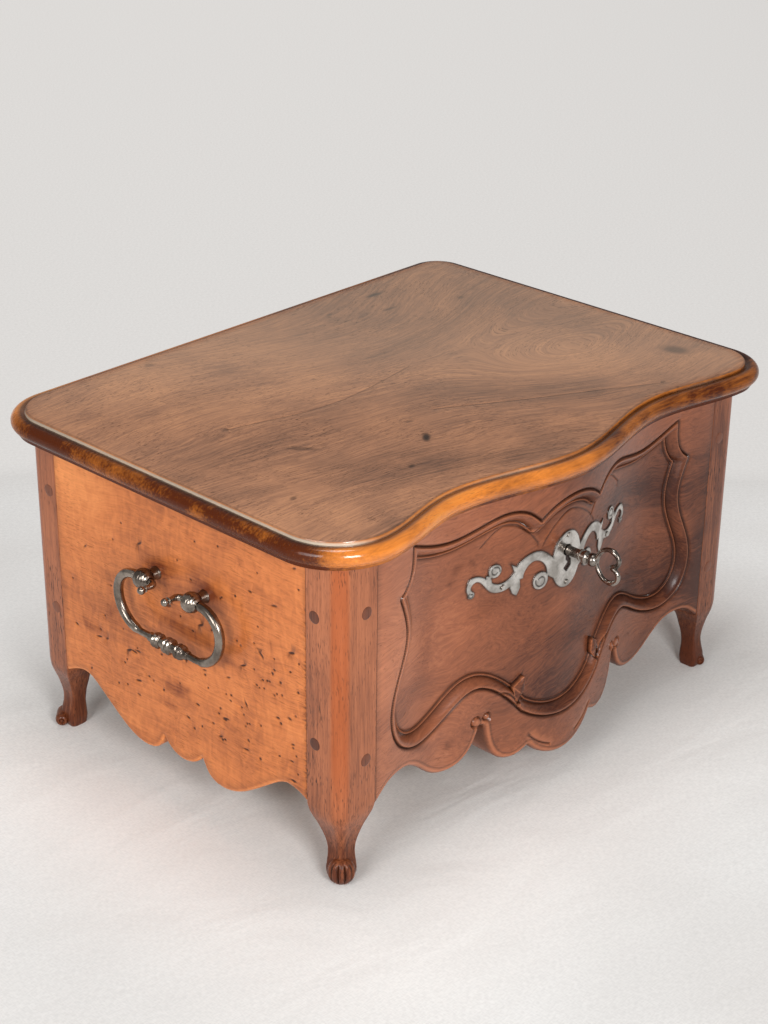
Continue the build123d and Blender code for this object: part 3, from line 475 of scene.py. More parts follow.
def shades(tree, value, stops):
    """A colour picked along a row of stops, each a place and a colour."""
    made = put(tree, "ShaderNodeValToRGB", Fac=value)
    ramp = made.color_ramp
    while len(ramp.elements) < len(stops):
        ramp.elements.new(0.5)
    for element, (place, colour) in zip(ramp.elements, stops):
        element.position, element.color = place, colour
    return made.outputs["Color"]


def new_group(name, inputs, outputs):
    """An empty shader group with named sockets: each a name, a kind and a value."""
    group = bpy.data.node_groups.new(name, "ShaderNodeTree")
    for label, kind, value in inputs:
        socket = group.interface.new_socket(label, in_out="INPUT", socket_type="NodeSocket" + kind)
        if value is not None:
            socket.default_value = value
    for label, kind in outputs:
        group.interface.new_socket(label, in_out="OUTPUT", socket_type="NodeSocket" + kind)
    return group, group.nodes.new("NodeGroupInput").outputs, group.nodes.new("NodeGroupOutput").inputs


def stretched(tree, vector, scale):
    return put(tree, "ShaderNodeMapping", Vector=vector, Scale=scale).outputs["Vector"]


def noise(tree, vector, scale, detail=2.0, roughness=0.5, distortion=0.0):
    made = put(
        tree, "ShaderNodeTexNoise", Vector=vector, Scale=scale, Detail=detail, Roughness=roughness,
        Distortion=distortion,
    )
    return made.outputs["Fac"]


def grain_group():
    """Old walnut, all values about 0.5: broad figure, fine grain lines, pores, clouds and ripple across."""
    group, given, out = new_group(
        "walnut_grain",
        [("Vector", "Vector", None), ("Swirl", "Float", 0.02), ("Seed", "Float", 0.0), ("Pore Length", "Float", 1.0)],
        [("Figure", "Float"), ("Lines", "Float"), ("Pores", "Float"), ("Clouds", "Float"), ("Ripple", "Float")],
    )
    shift = put(group, "ShaderNodeCombineXYZ", X=given["Seed"], Y=given["Seed"], Z=given["Seed"])
    place = vectors(group, "ADD", given["Vector"], shift.outputs[0])
    bend = put(group, "ShaderNodeTexNoise", Vector=stretched(group, place, (0.6, 1, 1)), Scale=6.5, Detail=5.0)
    centred = vectors(group, "SUBTRACT", bend.outputs["Color"], (0.5, 0.5, 0.5))
    flow = vectors(group, "ADD", place, vectors(group, "SCALE", centred, given["Swirl"]))
    wire(out["Figure"], noise(group, stretched(group, flow, (0.35, 2.2, 2.2)), 9.0, 4.0, 0.5, 0.6))
    wire(out["Lines"], noise(group, stretched(group, flow, (1, 30, 30)), 20.0, 4.0, 0.7))
    dash = put(group, "ShaderNodeCombineXYZ", X=given["Pore Length"], Y=11.0, Z=11.0)
    fine = noise(group, vectors(group, "MULTIPLY", flow, dash.outputs[0]), 150.0, 1.0, 0.5)
    patches = between(group, noise(group, place, 24.0, 2.0), 0.35, 0.6, 0.3, 1.0)
    wire(out["Pores"], sums(group, "MULTIPLY", between(group, fine, 0.57, 0.7), patches))
    wire(out["Clouds"], noise(group, place, 13.0, 4.0, 0.6, 0.4))
    wire(out["Ripple"], noise(group, stretched(group, flow, (2.6, 1, 1)), 80.0, 2.0, 0.45, 0.9))
    return group


def fleck_group():
    """Small dark worm holes and nicks: scattered spots, some drawn out into dashes."""
    group, given, out = new_group(
        "worm_holes",
        [("Vector", "Vector", None), ("Scale", "Float", 140.0), ("Size", "Float", 0.2), ("Share", "Float", 0.2)],
        [("Holes", "Float")],
    )
    spots = put(group, "ShaderNodeTexVoronoi", Vector=given["Vector"], Scale=given["Scale"], Randomness=1.0)
    pick = put(group, "ShaderNodeSeparateColor", Color=spots.outputs["Color"])
    chosen = sums(group, "LESS_THAN", pick.outputs["Red"], given["Share"])
    size = sums(group, "MULTIPLY", given["Size"], sums(group, "ADD", pick.outputs["Green"], 0.45))
    inner = sums(group, "SUBTRACT", size, spots.outputs["Distance"])
    hole = between(group, sums(group, "DIVIDE", inner, size), 0.0, 0.35)
    wire(out["Holes"], sums(group, "MULTIPLY", hole, chosen))
    return group


def new_finish(name):
    made = bpy.data.materials.new(name)
    made.use_nodes = True
    tree = made.node_tree
    tree.nodes.clear()
    shader = tree.nodes.new("ShaderNodeBsdfPrincipled")
    output = tree.nodes.new("ShaderNodeOutputMaterial")
    wire(output.inputs[0], shader.outputs[0])
    return made, tree, shader


def mark_of(tree, name):
    return put(tree, "ShaderNodeAttribute", {"attribute_name": name}).outputs["Fac"]


WALNUT_GRAIN, WORM_HOLES = grain_group(), fleck_group()


def use_group(tree, group, **inputs):
    made = tree.nodes.new("ShaderNodeGroup")
    made.node_tree = group
    for name, value in inputs.items():
        wire(made.inputs[name], value)
    return made.outputs


# pale colour of dust in the quirks and of the painted sheen on the back of the lid
DUST_AND_SHEEN = tone(206, 190, 170)
ALONG_X, ALONG_Y, UPRIGHT = (0, 0, 0), (0, 0, radians(90)), (0, radians(90), 0)


def about_middle(tree, value, share):
    """How far a value lies from a half, times share."""
    return sums(tree, "MULTIPLY", sums(tree, "SUBTRACT", value, 0.5), share)


def walnut(name, deep, middle, light, turn=ALONG_X, swirl=0.02, seed=0.0, rough=(0.3, 0.42), holes=None, pores=0.5,
           pore_length=1.0, figure=1.0, lines=0.5, clouds=0.7, ripple=0.0, coat=0.25, amber=None, flow=None,
           sheen=0.25):
    """Waxed walnut whose grain runs along X before turn, or along the marks named by flow."""
    made, tree, shader = new_finish(name)
    place = put(tree, "ShaderNodeTexCoord").outputs["Object"]
    laid = put(tree, "ShaderNodeAttribute", {"attribute_name": flow}).outputs["Vector"] if flow else place
    turned = put(tree, "ShaderNodeMapping", {"vector_type": "TEXTURE"}, Vector=laid, Rotation=turn)
    grain = use_group(
        tree, WALNUT_GRAIN, Vector=turned.outputs["Vector"], Swirl=swirl, Seed=seed, **{"Pore Length": pore_length}
    )
    mix = 0.5
    for part, share in (("Figure", figure), ("Lines", lines), ("Clouds", clouds), ("Ripple", ripple)):
        mix = sums(tree, "ADD", mix, about_middle(tree, grain[part], share))
    # the stain mark darkens the wood: real stains and clouds, and painted shade where the lamps leave parts darker
    mix = sums(tree, "SUBTRACT", mix, mark_of(tree, "stain_and_shade"))
    colour = shades(tree, mix, ((0.12, deep), (0.5, middle), (0.88, light)))
    dark = darker(deep, 0.3)
    if amber:
        colour = blend_colours(tree, mark_of(tree, "amber"), colour, amber)
    colour = blend_colours(tree, sums(tree, "MULTIPLY", grain["Pores"], pores), colour, dark)
    # the groove mark darkens grooves, joints, cracks and holes and adds painted shade in hollows; the edge mark
    # lightens worn arrises and adds painted highlights on beads and balls
    groove, edge_and_highlight = mark_of(tree, "groove"), mark_of(tree, "edge_and_highlight")
    colour = blend_colours(tree, sums(tree, "MULTIPLY", edge_and_highlight, 0.5), colour, light)
    colour = blend_colours(tree, groove, colour, dark)
    # pale dust in the lid's quirks, and painted sheen on the back of the lid
    colour = blend_colours(tree, mark_of(tree, "dust_and_sheen"), colour, DUST_AND_SHEEN)
    height = sums(tree, "MULTIPLY", grain["Pores"], -0.5)
    height = sums(tree, "ADD", height, sums(tree, "MULTIPLY", grain["Clouds"], 0.35))
    if holes:
        share, size, scale = holes
        patches = between(tree, noise(tree, place, 9.0, 2.0), 0.4, 0.62, 0.25, 1.0)
        round_holes = use_group(tree, WORM_HOLES, Vector=place, Scale=scale, Size=size, Share=share)["Holes"]
        long = stretched(tree, place, (0.45, 0.45, 1.1))
        dashes = use_group(tree, WORM_HOLES, Vector=long, Scale=scale, Size=size, Share=share)["Holes"]
        worm = sums(tree, "MULTIPLY", sums(tree, "MAXIMUM", round_holes, dashes), patches)
        smudge = between(tree, noise(tree, place, 55.0, 3.0, 0.6), 0.66, 0.78)
        colour = blend_colours(tree, sums(tree, "MULTIPLY", smudge, 0.4), colour, deep)
        colour = blend_colours(tree, sums(tree, "MULTIPLY", worm, 0.9), colour, dark)
        height = sums(tree, "SUBTRACT", height, worm)
    wire(shader.inputs["Base Color"], colour)
    wear = between(tree, grain["Clouds"], 0.3, 0.7, *rough)
    wire(shader.inputs["Roughness"], sums(tree, "ADD", wear, sums(tree, "MULTIPLY", grain["Pores"], 0.2)))
    bump = put(tree, "ShaderNodeBump", Strength=0.3, Distance=0.0004, Height=height)
    wire(shader.inputs["Normal"], bump.outputs[0])
    shader.inputs["Specular IOR Level"].default_value = sheen
    if coat:
        waxed = sums(tree, "SUBTRACT", 1.0, sums(tree, "MULTIPLY", mark_of(tree, "stain_and_shade"), 2.5), True)
        wire(shader.inputs["Coat Weight"], sums(tree, "MULTIPLY", waxed, coat))
    shader.inputs["Coat Roughness"].default_value = 0.14
    return made


def metal(name, dull, bright, rough, scale=160.0, pits=0.5):
    """Forged metal: polished where rubbed, dull and pitted elsewhere."""
    made, tree, shader = new_finish(name)
    place = put(tree, "ShaderNodeTexCoord").outputs["Object"]
    cloud = noise(tree, place, scale, 4.0, 0.6)
    pit = between(tree, noise(tree, place, scale * 5, 2.0, 0.6), 0.6, 0.72)
    colour = blend_colours(tree, between(tree, cloud, 0.35, 0.65), dull, bright)
    colour = blend_colours(tree, sums(tree, "MULTIPLY", pit, pits), colour, darker(dull, 0.3))
    colour = blend_colours(tree, mark_of(tree, "groove"), colour, darker(dull, 0.15))
    wire(shader.inputs["Base Color"], colour)
    wire(shader.inputs["Roughness"], between(tree, cloud, 0.3, 0.7, rough[1], rough[0]))
    shader.inputs["Metallic"].default_value = 1.0
    height = sums(tree, "SUBTRACT", sums(tree, "MULTIPLY", cloud, 0.3), sums(tree, "MULTIPLY", pit, pits))
    bump = put(tree, "ShaderNodeBump", Strength=0.25, Distance=0.0003, Height=height)
    wire(shader.inputs["Normal"], bump.outputs[0])
    return made


top_wood = walnut(
    "lid_walnut", tone(98, 70, 56), tone(167, 118, 88), tone(212, 152, 110), swirl=0.05, seed=3.1, flow="grain",
    rough=(0.36, 0.48), pores=0.6, pore_length=1.6, figure=0.36, lines=0.95, clouds=0.7, coat=0.08,
)
edge_wood = walnut(
    "moulding_walnut", tone(76, 31, 8), tone(212, 124, 46), tone(242, 164, 78), seed=5.2, rough=(0.2, 0.28),
    pores=0.4, figure=0.9, lines=0.4, clouds=0.9, coat=0.8, sheen=0.12,
)
front_wood = walnut(
    "front_walnut", tone(66, 28, 13), tone(146, 84, 54), tone(200, 124, 84), swirl=0.14, seed=1.4, rough=(0.3, 0.4),
    pores=0.3, figure=0.6, lines=0.5, clouds=0.5, coat=0.5,
)
side_wood = walnut(
    "side_walnut", tone(114, 54, 27), tone(195, 113, 59), tone(230, 146, 83), turn=ALONG_Y, seed=7.7, swirl=0.05,
    rough=(0.34, 0.44), pores=0.35, ripple=0.35, figure=0.5, lines=0.5, clouds=0.6, coat=0.2,
)
post_wood = walnut(
    "post_walnut", tone(88, 42, 22), tone(152, 88, 55), tone(184, 112, 73), turn=UPRIGHT, swirl=0.01, seed=2.6,
    rough=(0.28, 0.38), pores=0.9, pore_length=1.2, figure=0.8, lines=1.0, coat=0.35, amber=tone(156, 74, 26),
)
back_wood = walnut(
    "back_walnut", tone(96, 60, 42), tone(138, 92, 66), tone(160, 112, 82), seed=9.3, rough=(0.5, 0.62),
    holes=(0.1, 0.18, 120.0), coat=0.0,
)
under_wood, inside_wood = (
    walnut(
        name, tone(92, 58, 38), tone(140, 94, 62), tone(166, 118, 82), turn=turn, swirl=0.04, seed=seed,
        rough=(0.46, 0.56), pores=0.6, figure=0.5, lines=0.8, clouds=0.5, coat=0.0,
    ) for name, turn, seed in (("lid_underside_walnut", ALONG_X, 6.3), ("inside_walnut", ALONG_Y, 6.9))
)
inner_wood = walnut(
    "inner_board_wood", tone(124, 88, 58), tone(158, 118, 80), tone(180, 142, 102), seed=4.4, rough=(0.6, 0.7),
    coat=0.0,
)
peg_wood = walnut(
    "peg_end_grain", tone(66, 32, 20), tone(108, 60, 40), tone(130, 78, 54), turn=UPRIGHT, seed=8.0, pores=0.6,
    clouds=1.0, coat=0.2,
)
handle_iron = metal("handle_iron", tone(98, 89, 81), tone(164, 153, 142), (0.2, 0.28), 50.0, 0.1)
plate_steel = metal("escutcheon_steel", tone(168, 163, 157), tone(222, 218, 213), (0.24, 0.36), 90.0, 0.25)
key_steel = metal("key_steel", tone(70, 62, 56), tone(160, 152, 144), (0.16, 0.3), 110.0, 0.4)
lock_steel = metal("lock_steel", tone(92, 86, 80), tone(140, 134, 126), (0.3, 0.5))


def dress(piece, finish, body, slot, *stands_for):
    """Give a finished piece its finish and body, and hide the nodes it stands for; slot is not used."""
    piece.data.materials.clear()
    piece.data.materials.append(finish)
    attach(piece, body)
    if stands_for:
        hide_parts(*stands_for)
    return piece


def also(piece, finish, chosen):
    """Give the faces whose middle, in millimetres, is chosen another finish."""
    piece.data.materials.append(finish)
    for polygon in piece.data.polygons:
        if chosen(*(polygon.center / MM)):
            polygon.material_index = len(piece.data.materials) - 1


# ---- lid --------------------------------------------------------------------------------------------
def quarter(x, y, radius, start):
    """A quarter of a circle, anticlockwise from start in degrees."""
    angles = np.radians(np.linspace(start, start + 90, 24))
    return np.stack([x + radius * np.cos(angles), y + radius * np.sin(angles)], 1)


def lid_line():
    """The outer line of the moulded edge, seen from above, going round anticlockwise."""
    front_left, front_right, back_right, back_left = LID_CORNERS
    side, back, crown = LID_HALF_WIDTH, LID_BACK, LID_FRONT_CROWN
    stops = (
        (front_left - side, crown), (-LID_RECESS_X, LID_FRONT_RECESS), (0, LID_FRONT_MIDDLE),
        (LID_RECESS_X, LID_FRONT_RECESS), (side - front_right, crown),
    )
    front = joined(*[smooth_line(pair, (1, 0), (1, 0)) for pair in zip(stops, stops[1:])])
    return np.vstack([
        front,
        quarter(side - front_right, crown + front_right, front_right, -90)[1:],
        quarter(side - back_right, back - back_right, back_right, 0),
        quarter(back_left - side, back - back_left, back_left, 90),
        quarter(front_left - side, crown + front_left, front_left, 180)[:-1],
    ])


# the moulded edge from below: distance in from the outer line, height
LID_EDGE = [(14.0, LID_UNDERSIDE), (4.6, LID_UNDERSIDE), (4.4, 216.9), (3.9, 217.5), (2.8, 217.7)]
FILLET_END = len(LID_EDGE)
LID_EDGE += [(5.6 - 5.6 * sin(t), 223.1 - 5.55 * cos(t)) for t in np.linspace(0.55, pi - 0.3, 17)]
QUIRK = len(LID_EDGE) + 2      # the point before the floor of the quirk
LID_EDGE += [(6.6, 228.35), (8.3, 227.9), (8.9, 227.6), (9.3, 227.7), (9.5, 228.6), (9.7, 229.8), (10.1, 230.35)]
LID_EDGE += [(11.0, LID_TOP)]
MOULDING_TOP = 229.7      # above it lies the field
CRACKS = (
    ((-128.0, 35.0), (-100.0, 27.5), (-80.0, 22.0), (-40.0, 18.6), (-8.0, 22.0), (24.0, 27.0)),
    ((-16.1, -32.7), (9.6, -47.4), (41.4, -65.7), (80.9, -86.8), (118.0, -107.5)),
)
# dark marks on the lid: place, half length and half width, direction in degrees, strength
MARKS = (
    (-52.0, -58.0, 6.6, 2.6, 44, 1.0), (172.5, -79.0, 9.0, 7.0, -70, 0.75), (108.0, 138.0, 8.0, 2.4, 0, 0.95),
    (95.0, 110.5, 7.0, 1.8, 0, 0.7), (148.0, 90.5, 3.4, 2.4, 10, 0.6), (-116.5, -17.0, 10.0, 2.6, -50, 0.55),
    (-89.0, -80.0, 3.0, 1.8, 20, 0.8), (-93.0, 148.5, 4.0, 2.4, -6, 0.5), (57.0, 132.0, 3.4, 1.6, 20, 0.6),
    (-168.0, -62.0, 3.0, 1.8, 20, 0.6), (40.0, 150.0, 3.0, 1.0, 0, 0.5), (-42.0, -34.0, 3.2, 1.6, -20, 0.5),
)
# broad darker clouds in the wood of the lid
CLOUDS = (
    (80.0, 96.0, 110.0, 58.0, 0, 0.1), (55.0, -58.0, 84.0, 20.0, -44, 0.17), (-70.0, -92.0, 84.0, 20.0, -34, 0.16),
    (-130.0, 4.0, 60.0, 20.0, 0, 0.1), (-68.0, 106.0, 13.0, 10.0, 0, 0.14), (-176.0, 108.0, 8.0, 10.0, 0, 0.12),
    (128.0, -50.0, 58.0, 38.0, -24, -0.14), (-130.0, 128.0, 90.0, 24.0, 0, -0.12),
    (-50.0, 62.0, 70.0, 22.0, 8, -0.08), (-155.0, -95.0, 44.0, 22.0, -20, -0.12),
    (-30.0, -34.0, 60.0, 14.0, -28, -0.06), (182.0, 20.0, 30.0, 60.0, 0, 0.06),
)
# knots under the field of the lid: place, half length, half width, how far they push the grain aside
KNOTS = ((134, -46, 74, 56, 32), (84, 88, 84, 50, 22), (-122, -118, 70, 40, -26))


def blots(points, blots_given, power):
    """How dark each point is under soft oval blots."""
    made = np.zeros(len(points))
    for x, y, long, wide, turn, strength in blots_given:
        c, s = cos(radians(turn)), sin(radians(turn))
        dx, dy = points[:, 0] - x, points[:, 1] - y
        far = ((dx * c + dy * s) / long) ** 2 + ((dy * c - dx * s) / wide) ** 2
        made += strength * np.exp(-(far**power))
    return made


def lid_grain(places):
    """Grain of the lid as a place along and a line across: it falls to the right in front and curls round knots."""
    x, y, z = places.T
    in_front = ease((45 - y) / 80)
    fall = 76 * ease((x + 105) / 250) + 10 * np.sin((x + 150) / 38) * ease((70 - x) / 120)
    sag = 13 * bell(x - 5, 95) + 6 * np.sin((x + 40) / 46)
    across = y + in_front * fall + (1 - in_front) * sag
    for knot_x, knot_y, long, wide, height in KNOTS:
        across = across + height * bell(x - knot_x, long) * bell(y - knot_y, wide)
    return np.stack([x, across, z], 1)


def lid_piece():
    path = even_steps(lid_line(), 2.0, True)
    way, inwards = ways_of(path)
    # dust lies thick in the quirk of the left end and thin elsewhere
    dusty = 0.7 * ease((-way[:, 1] - 0.1) / 0.5) + 0.12 * ease((60 - path[:, 0]) / 120) * ease(way[:, 0])
    # painted shade: the moulding is amber along the front and painted darker at both ends and towards its right end,
    # which lie darker under the lamps
    end_shade = 0.36 * ease((np.abs(way[:, 1]) - 0.7) / 0.3) + 0.26 * ease((path[:, 0] + 50) / 150)
    build = bmesh.new()
    marks = {"groove": [], "dust_and_sheen": [], "stain_and_shade": []}
    rings, none = [], np.zeros(len(path))
    for number, (set_back, height) in enumerate(LID_EDGE):
        rings.append([build.verts.new((x, y, height)) for x, y in path + inwards * set_back])
        past_quirk = number - QUIRK
        # painted shade in the quirk and on the face of the step above it
        marks["groove"].append(none + (0.8 if -2 <= past_quirk <= 1 else 0.4 if 3 <= past_quirk <= 4 else 0.0))
        marks["dust_and_sheen"].append(dusty if past_quirk in (1, 2) else none)
        # painted shade on the fillet under the torus, added to the painted shade of the ends
        ring_shade = end_shade + (0.2 if number < FILLET_END else 0.0)
        marks["stain_and_shade"].append(ring_shade if number and past_quirk < 3 else none)
    skin(build, rings)
    inner = path + inwards * LID_EDGE[-1][0]
    lines = [smooth_line(crack) for crack in CRACKS]
    near_marks = [
        field_points((x - long, y - long), (x + long, y + long), 0.9, inner, 1.0) for x, y, long, *_ in MARKS
    ]
    near_cracks = [rows_beside(line, (0, 0.25, -0.25, 0.8, -0.8), 1.2, False) for line in lines]
    fine = spread([inner, *near_cracks, *near_marks], 0.2)
    free = field_points((-200, -140), (200, 165), 4.5, fine, 2.6)
    points = np.vstack([fine[len(inner) :], free])
    corners, faces = cut_sheet(points, [inner])
    gaps = [nearest(corners, line, False)[0] for line in lines]
    crack = np.max([bell(gap, 0.28) for gap in gaps], axis=0)
    spot = np.clip(blots(corners, MARKS, 2.0), 0, 1)
    wear = blots(corners, CLOUDS, 1.0)
    # painted sheen: the field is painted greyer towards the back, standing for the hazy reflection there
    back_sheen = 0.2 * ease((corners.sum(1) + 110) / 240)
    own = {}
    for i, (x, y) in enumerate(corners):
        if i < len(inner) and abs(x - inner[i][0]) + abs(y - inner[i][1]) < 1e-4:
            own[i] = rings[-1][i]
            continue
        own[i] = build.verts.new((x, y, LID_TOP - 0.3 * crack[i] - 0.15 * spot[i]))
        for mark, value in (("groove", max(0.7 * crack[i], spot[i])), ("dust_and_sheen", back_sheen[i]), ("stain_and_shade", wear[i])):
            marks[mark].append([value])
    for a, b, c in faces:
        build.faces.new((own[a], own[b], own[c]))
    under = [build.edges.get((a, b)) for a, b in zip(rings[0], rings[0][1:] + rings[0][:1])]
    bmesh.ops.triangle_fill(build, use_beauty=True, use_dissolve=False, edges=under)
    return finish_mesh("moulded_lid", build, 50.0, {mark: np.concatenate(v) for mark, v in marks.items()})


moulded_lid = lid_piece()
lay_grain(moulded_lid, lid_grain)
dress(moulded_lid, top_wood, "lid", "walnut", "lid")
also(moulded_lid, edge_wood, lambda x, y, z: z < MOULDING_TOP)
also(moulded_lid, under_wood, lambda x, y, z: z < LID_UNDERSIDE + HAIR)


# ---- carved front -----------------------------------------------------------------------------------
def plate_loops(node):
    """The outlines of the front face of the pierced plate as width and height, the outer one first."""
    seen = {}
    for polygon in node.data.polygons:
        if polygon.normal.y < -0.5:
            ring = [tuple(np.round(np.array(node.data.vertices[i].co) / MM, 2)) for i in polygon.vertices]
            for a, b in zip(ring, ring[1:] + ring[:1]):
                key = (a, b) if a < b else (b, a)
                seen[key] = seen.get(key, 0) + 1
    beside = {}
    for (a, b), times in seen.items():
        if times == 1 and a != b:
            beside.setdefault(a, []).append(b)
            beside.setdefault(b, []).append(a)
    loops = []
    while beside:
        start = min(beside)
        loop, here = [start], beside.pop(start)[0]
        while here in beside:
            loop.append(here)
            ways = beside.pop(here)
            here = next((w for w in ways if w in beside), start)
        loops.append(even_steps([(x, z) for x, _, z in loop], 0.7, True))
    return sorted(loops, key=lambda loop: -np.ptp(loop[:, 0]))


PLATE_LOOPS = plate_loops(NODES["escutcheon"])


def front_face(x):
    """Where the serpentine front stands at x: bowed in the middle, hollow on either side of it."""
    x = np.abs(x)
    inner = FRONT_BOW + (FRONT_HOLLOW - FRONT_BOW) * ease(x / HOLLOW_X)
    outer = FRONT_HOLLOW + (BODY_FRONT - FRONT_HOLLOW) * ease((x - HOLLOW_X) / (JOINT_X - HOLLOW_X))
    return np.where(x < HOLLOW_X, inner, outer)


CARTOUCHE = mirrored(
    joined(
        middle_arc(48.8, 37, 62),
        smooth_line(
            ((37, 62), (54, 80), (72, 88), (90, 80), (105, 72), (122, 69.5), (137, 77), (146, 104), (131.5, 150),
             (138.6, 176))
        ),
        smooth_line(((138.6, 176), (128.5, 187), (126.5, 204)), (-1, 0.4), (0, 1)),
        smooth_line(((126.5, 204), (112, 198), (93, 194), (70, 197.5), (50, 201), (38, 198), (28, 190))),
        middle_arc(200.5, 28, 190)[::-1],
    )
)
FRONT_APRON = joined(
    middle_arc(20, 30.5, 34.3),
    smooth_line(((30.5, 34.3), (41, 29.8), (52, 32), (60.5, 43), (64, 58))),
    arc_through((68, 58), (66, 60.5), (64, 58), 0.5)[::-1],
    smooth_line(
        ((68, 58), (73, 47), (82, 39), (93, 37.2), (105, 41), (117, 50.5), (130, 58.5), (141, 59.6), (148, 58),
         (154, 54.3), (JOINT_X, 48.3))
    ),
)
# depth of the moulding round the field, by distance inwards from its outer line
MOULDING = np.array(
    [(-3.0, 0.0), (-2.4, 0.05), (-1.8, 0.25), (-1.2, 0.9), (-0.7, 1.7), (-0.3, 1.8), (0.1, 0.9), (0.5, 0.05),
     (0.9, -0.3), (1.4, -0.4), (2.0, -0.15), (2.8, 0.45), (3.6, 1.15), (4.4, 2.1), (5.1, 3.1), (5.8, 4.3), (6.3, 5.4),
     (6.6, 5.95), (6.9, 5.4), (7.2, 4.7), (7.6, 4.45), (8.0, 4.7), (8.3, 5.5), (8.6, 6.05), (9.0, 5.9),
     (9.6, FIELD_DEPTH), (10.4, FIELD_DEPTH), (12.0, FIELD_DEPTH)]
)
# painted shade in the quirks and hollows of the moulding, by the same distances inwards
MOULDING_DARK = np.interp(
    MOULDING[:, 0], (-2.2, -1.3, -0.6, 0, 0.5, 2.5, 4.6, 5.9, 6.5, 6.9, 7.4, 7.9, 8.5, 9.1, 10.4, 12.0),
    (0, 0.75, 1, 0.9, 0.1, 0, 0.1, 0.4, 1, 0.5, 0, 0.1, 0.95, 0.5, 0.15, 0),
)
# depth of the eased lip and its bead, by distance from the lower edge
APRON_LIP = np.array(
    [(0, 2.4), (0.3, 1.5), (0.7, 0.95), (1.2, 0.5), (1.9, 0.18), (2.7, 0.0), (3.6, 0.02), (4.1, 0.22), (4.6, 0.02),
     (5.2, 0)]
)
# scrolled ends of the apron's lobes: place and radius of each ball; both sides alike
EYES = ((70.0, 64.0, 3.0), (62.2, 65.6, 2.1))
DIAMOND = np.array([(41.9, 79.0), (33.6, 84.9), (33.0, 75.0), (39.6, 66.6)])
# a second thin line cut inside the arches of the field
ECHOES = (
    ((66.4, 181.5), (59.7, 187.1), (51.7, 191.3), (45.2, 190.6), (36.7, 186.1), (30.6, 180.7), (25.5, 174.3)),
    ((-20.0, 172.0), (-13.0, 180.5), (-7.0, 185.0), (0.5, 188.1), (9.8, 185.9), (20.5, 179.8), (27.0, 174.0),
     (30.4, 169.4)),
)
ECHO_LINES = [smooth_line(ECHOES[0]), smooth_line(np.array(ECHOES[0]) * [-1, 1]), smooth_line(ECHOES[1])]
# short cuts, one that ends below the moulding and one inside the end of the middle lobe, each on both sides
TAIL = smooth_line(((52.0, 79.0), (46.5, 76.5), (42.0, 71.5), (39.6, 66.6)))
NICK = smooth_line(((29.5, 40.5), (26.0, 37.0), (20.0, 32.5), (13.0, 29.0)))
CUTS = [(line * [side, 1], depth) for line, depth in ((TAIL, 1.3), (NICK, 0.9)) for side in (1, -1)]
# darker smudges on the front
SMUDGES = (
    (-83.0, 172.0, 4.0, 2.0, 20, 0.3), (-88.0, 165.0, 2.4, 1.4, 0, 0.3), (-74.0, 174.0, 2.0, 1.2, 0, 0.25),
    (-62.0, 138.0, 14.0, 7.0, 20, 0.12), (-20.0, 112.0, 30.0, 14.0, -20, 0.07), (62.0, 118.0, 30.0, 16.0, 10, 0.05),
    (-108.0, 130.0, 8.0, 26.0, 0, 0.1), (20.0, 96.0, 20.0, 6.0, 0, 0.1), (-118.0, 66.0, 9.0, 3.0, -20, 0.2),
    (-92.0, 56.0, 4.0, 2.0, 0, 0.3), (100.0, 160.0, 22.0, 10.0, -10, 0.04), (96.0, 104.0, 16.0, 22.0, 0, 0.06),
    (88.0, 136.0, 26.0, 24.0, 0, -0.12), (163.0, 120.0, 16.0, 90.0, 0, 0.12),
)


def small_carving(corners, depth, groove, edge_and_highlight):
    """The scroll balls, diamonds, echo lines and short cuts, added to the carving, with painted highlights and
    painted shade.
    """
    x, z = np.abs(corners[:, 0]), corners[:, 1]
    for ex, ez, radius in EYES:
        far = np.hypot(x - ex, z - ez)
        ball = np.sqrt(np.maximum(radius**2 - far**2, 0))
        hollow = np.interp(far, (radius - 0.1, radius + 0.25, radius + 1.0, radius + 1.9), (0, 1.9, 1.3, 0))
        depth = np.where(far < radius, 1.6 - 0.85 * ball, np.maximum(depth, hollow))
        # each ball is painted lighter on top as its highlight, and its hollow ring painted dark as shade
        dark = np.interp(far, (radius, radius + 0.3, radius + 1.4), (0, 0.95, 0))
        groove = np.where(far < radius, 0, np.maximum(groove, dark))
        edge_and_highlight = np.maximum(edge_and_highlight, bell(far, 0.5 * radius))
    folded = np.stack([x, z], 1)
    gap, _ = nearest(folded, DIAMOND)
    inside = within(folded, DIAMOND)
    ridge = DIAMOND[3] - DIAMOND[1]
    spine = np.abs(np.cross(ridge, folded - DIAMOND[1])) / np.linalg.norm(ridge)
    depth = np.where(inside, 2.2 - 0.5 * np.minimum(gap, 2.0) + 0.25 * np.minimum(spine, 2), depth)
    # painted light on the diamond: shade in the groove round it, a dark line down its spine and a highlight along its
    # rim
    depth = np.where(~inside & (gap < 0.7), np.maximum(depth, 2.6), depth)
    groove = np.where(~inside & (gap < 0.8), 0.9, groove)
    groove = np.where(inside, np.where(spine < 0.35, 0.6, 0), groove)
    edge_and_highlight = np.where(inside & (gap < 0.55), 1, edge_and_highlight)
    for line in ECHO_LINES:
        gap, _ = nearest(corners, line, False)
        depth = depth + 0.4 * bell(gap, 0.6) - 0.15 * bell(gap - 1.3, 0.6)
        # painted shade in each echo line and a faint painted highlight beside it
        groove = np.maximum(groove, 0.7 * bell(gap, 0.5))
        edge_and_highlight = np.maximum(edge_and_highlight, 0.2 * bell(gap - 1.3, 0.5))
    for line, deep in CUTS:
        gap, _ = nearest(corners, line, False)
        depth = depth + deep * bell(gap, 0.7)
        # painted shade in each short cut and a painted highlight beside it
        groove = np.maximum(groove, 0.8 * bell(gap, 0.5))
        edge_and_highlight = np.maximum(edge_and_highlight, 0.8 * bell(gap - 1.3, 0.45))
    return depth, groove, edge_and_highlight


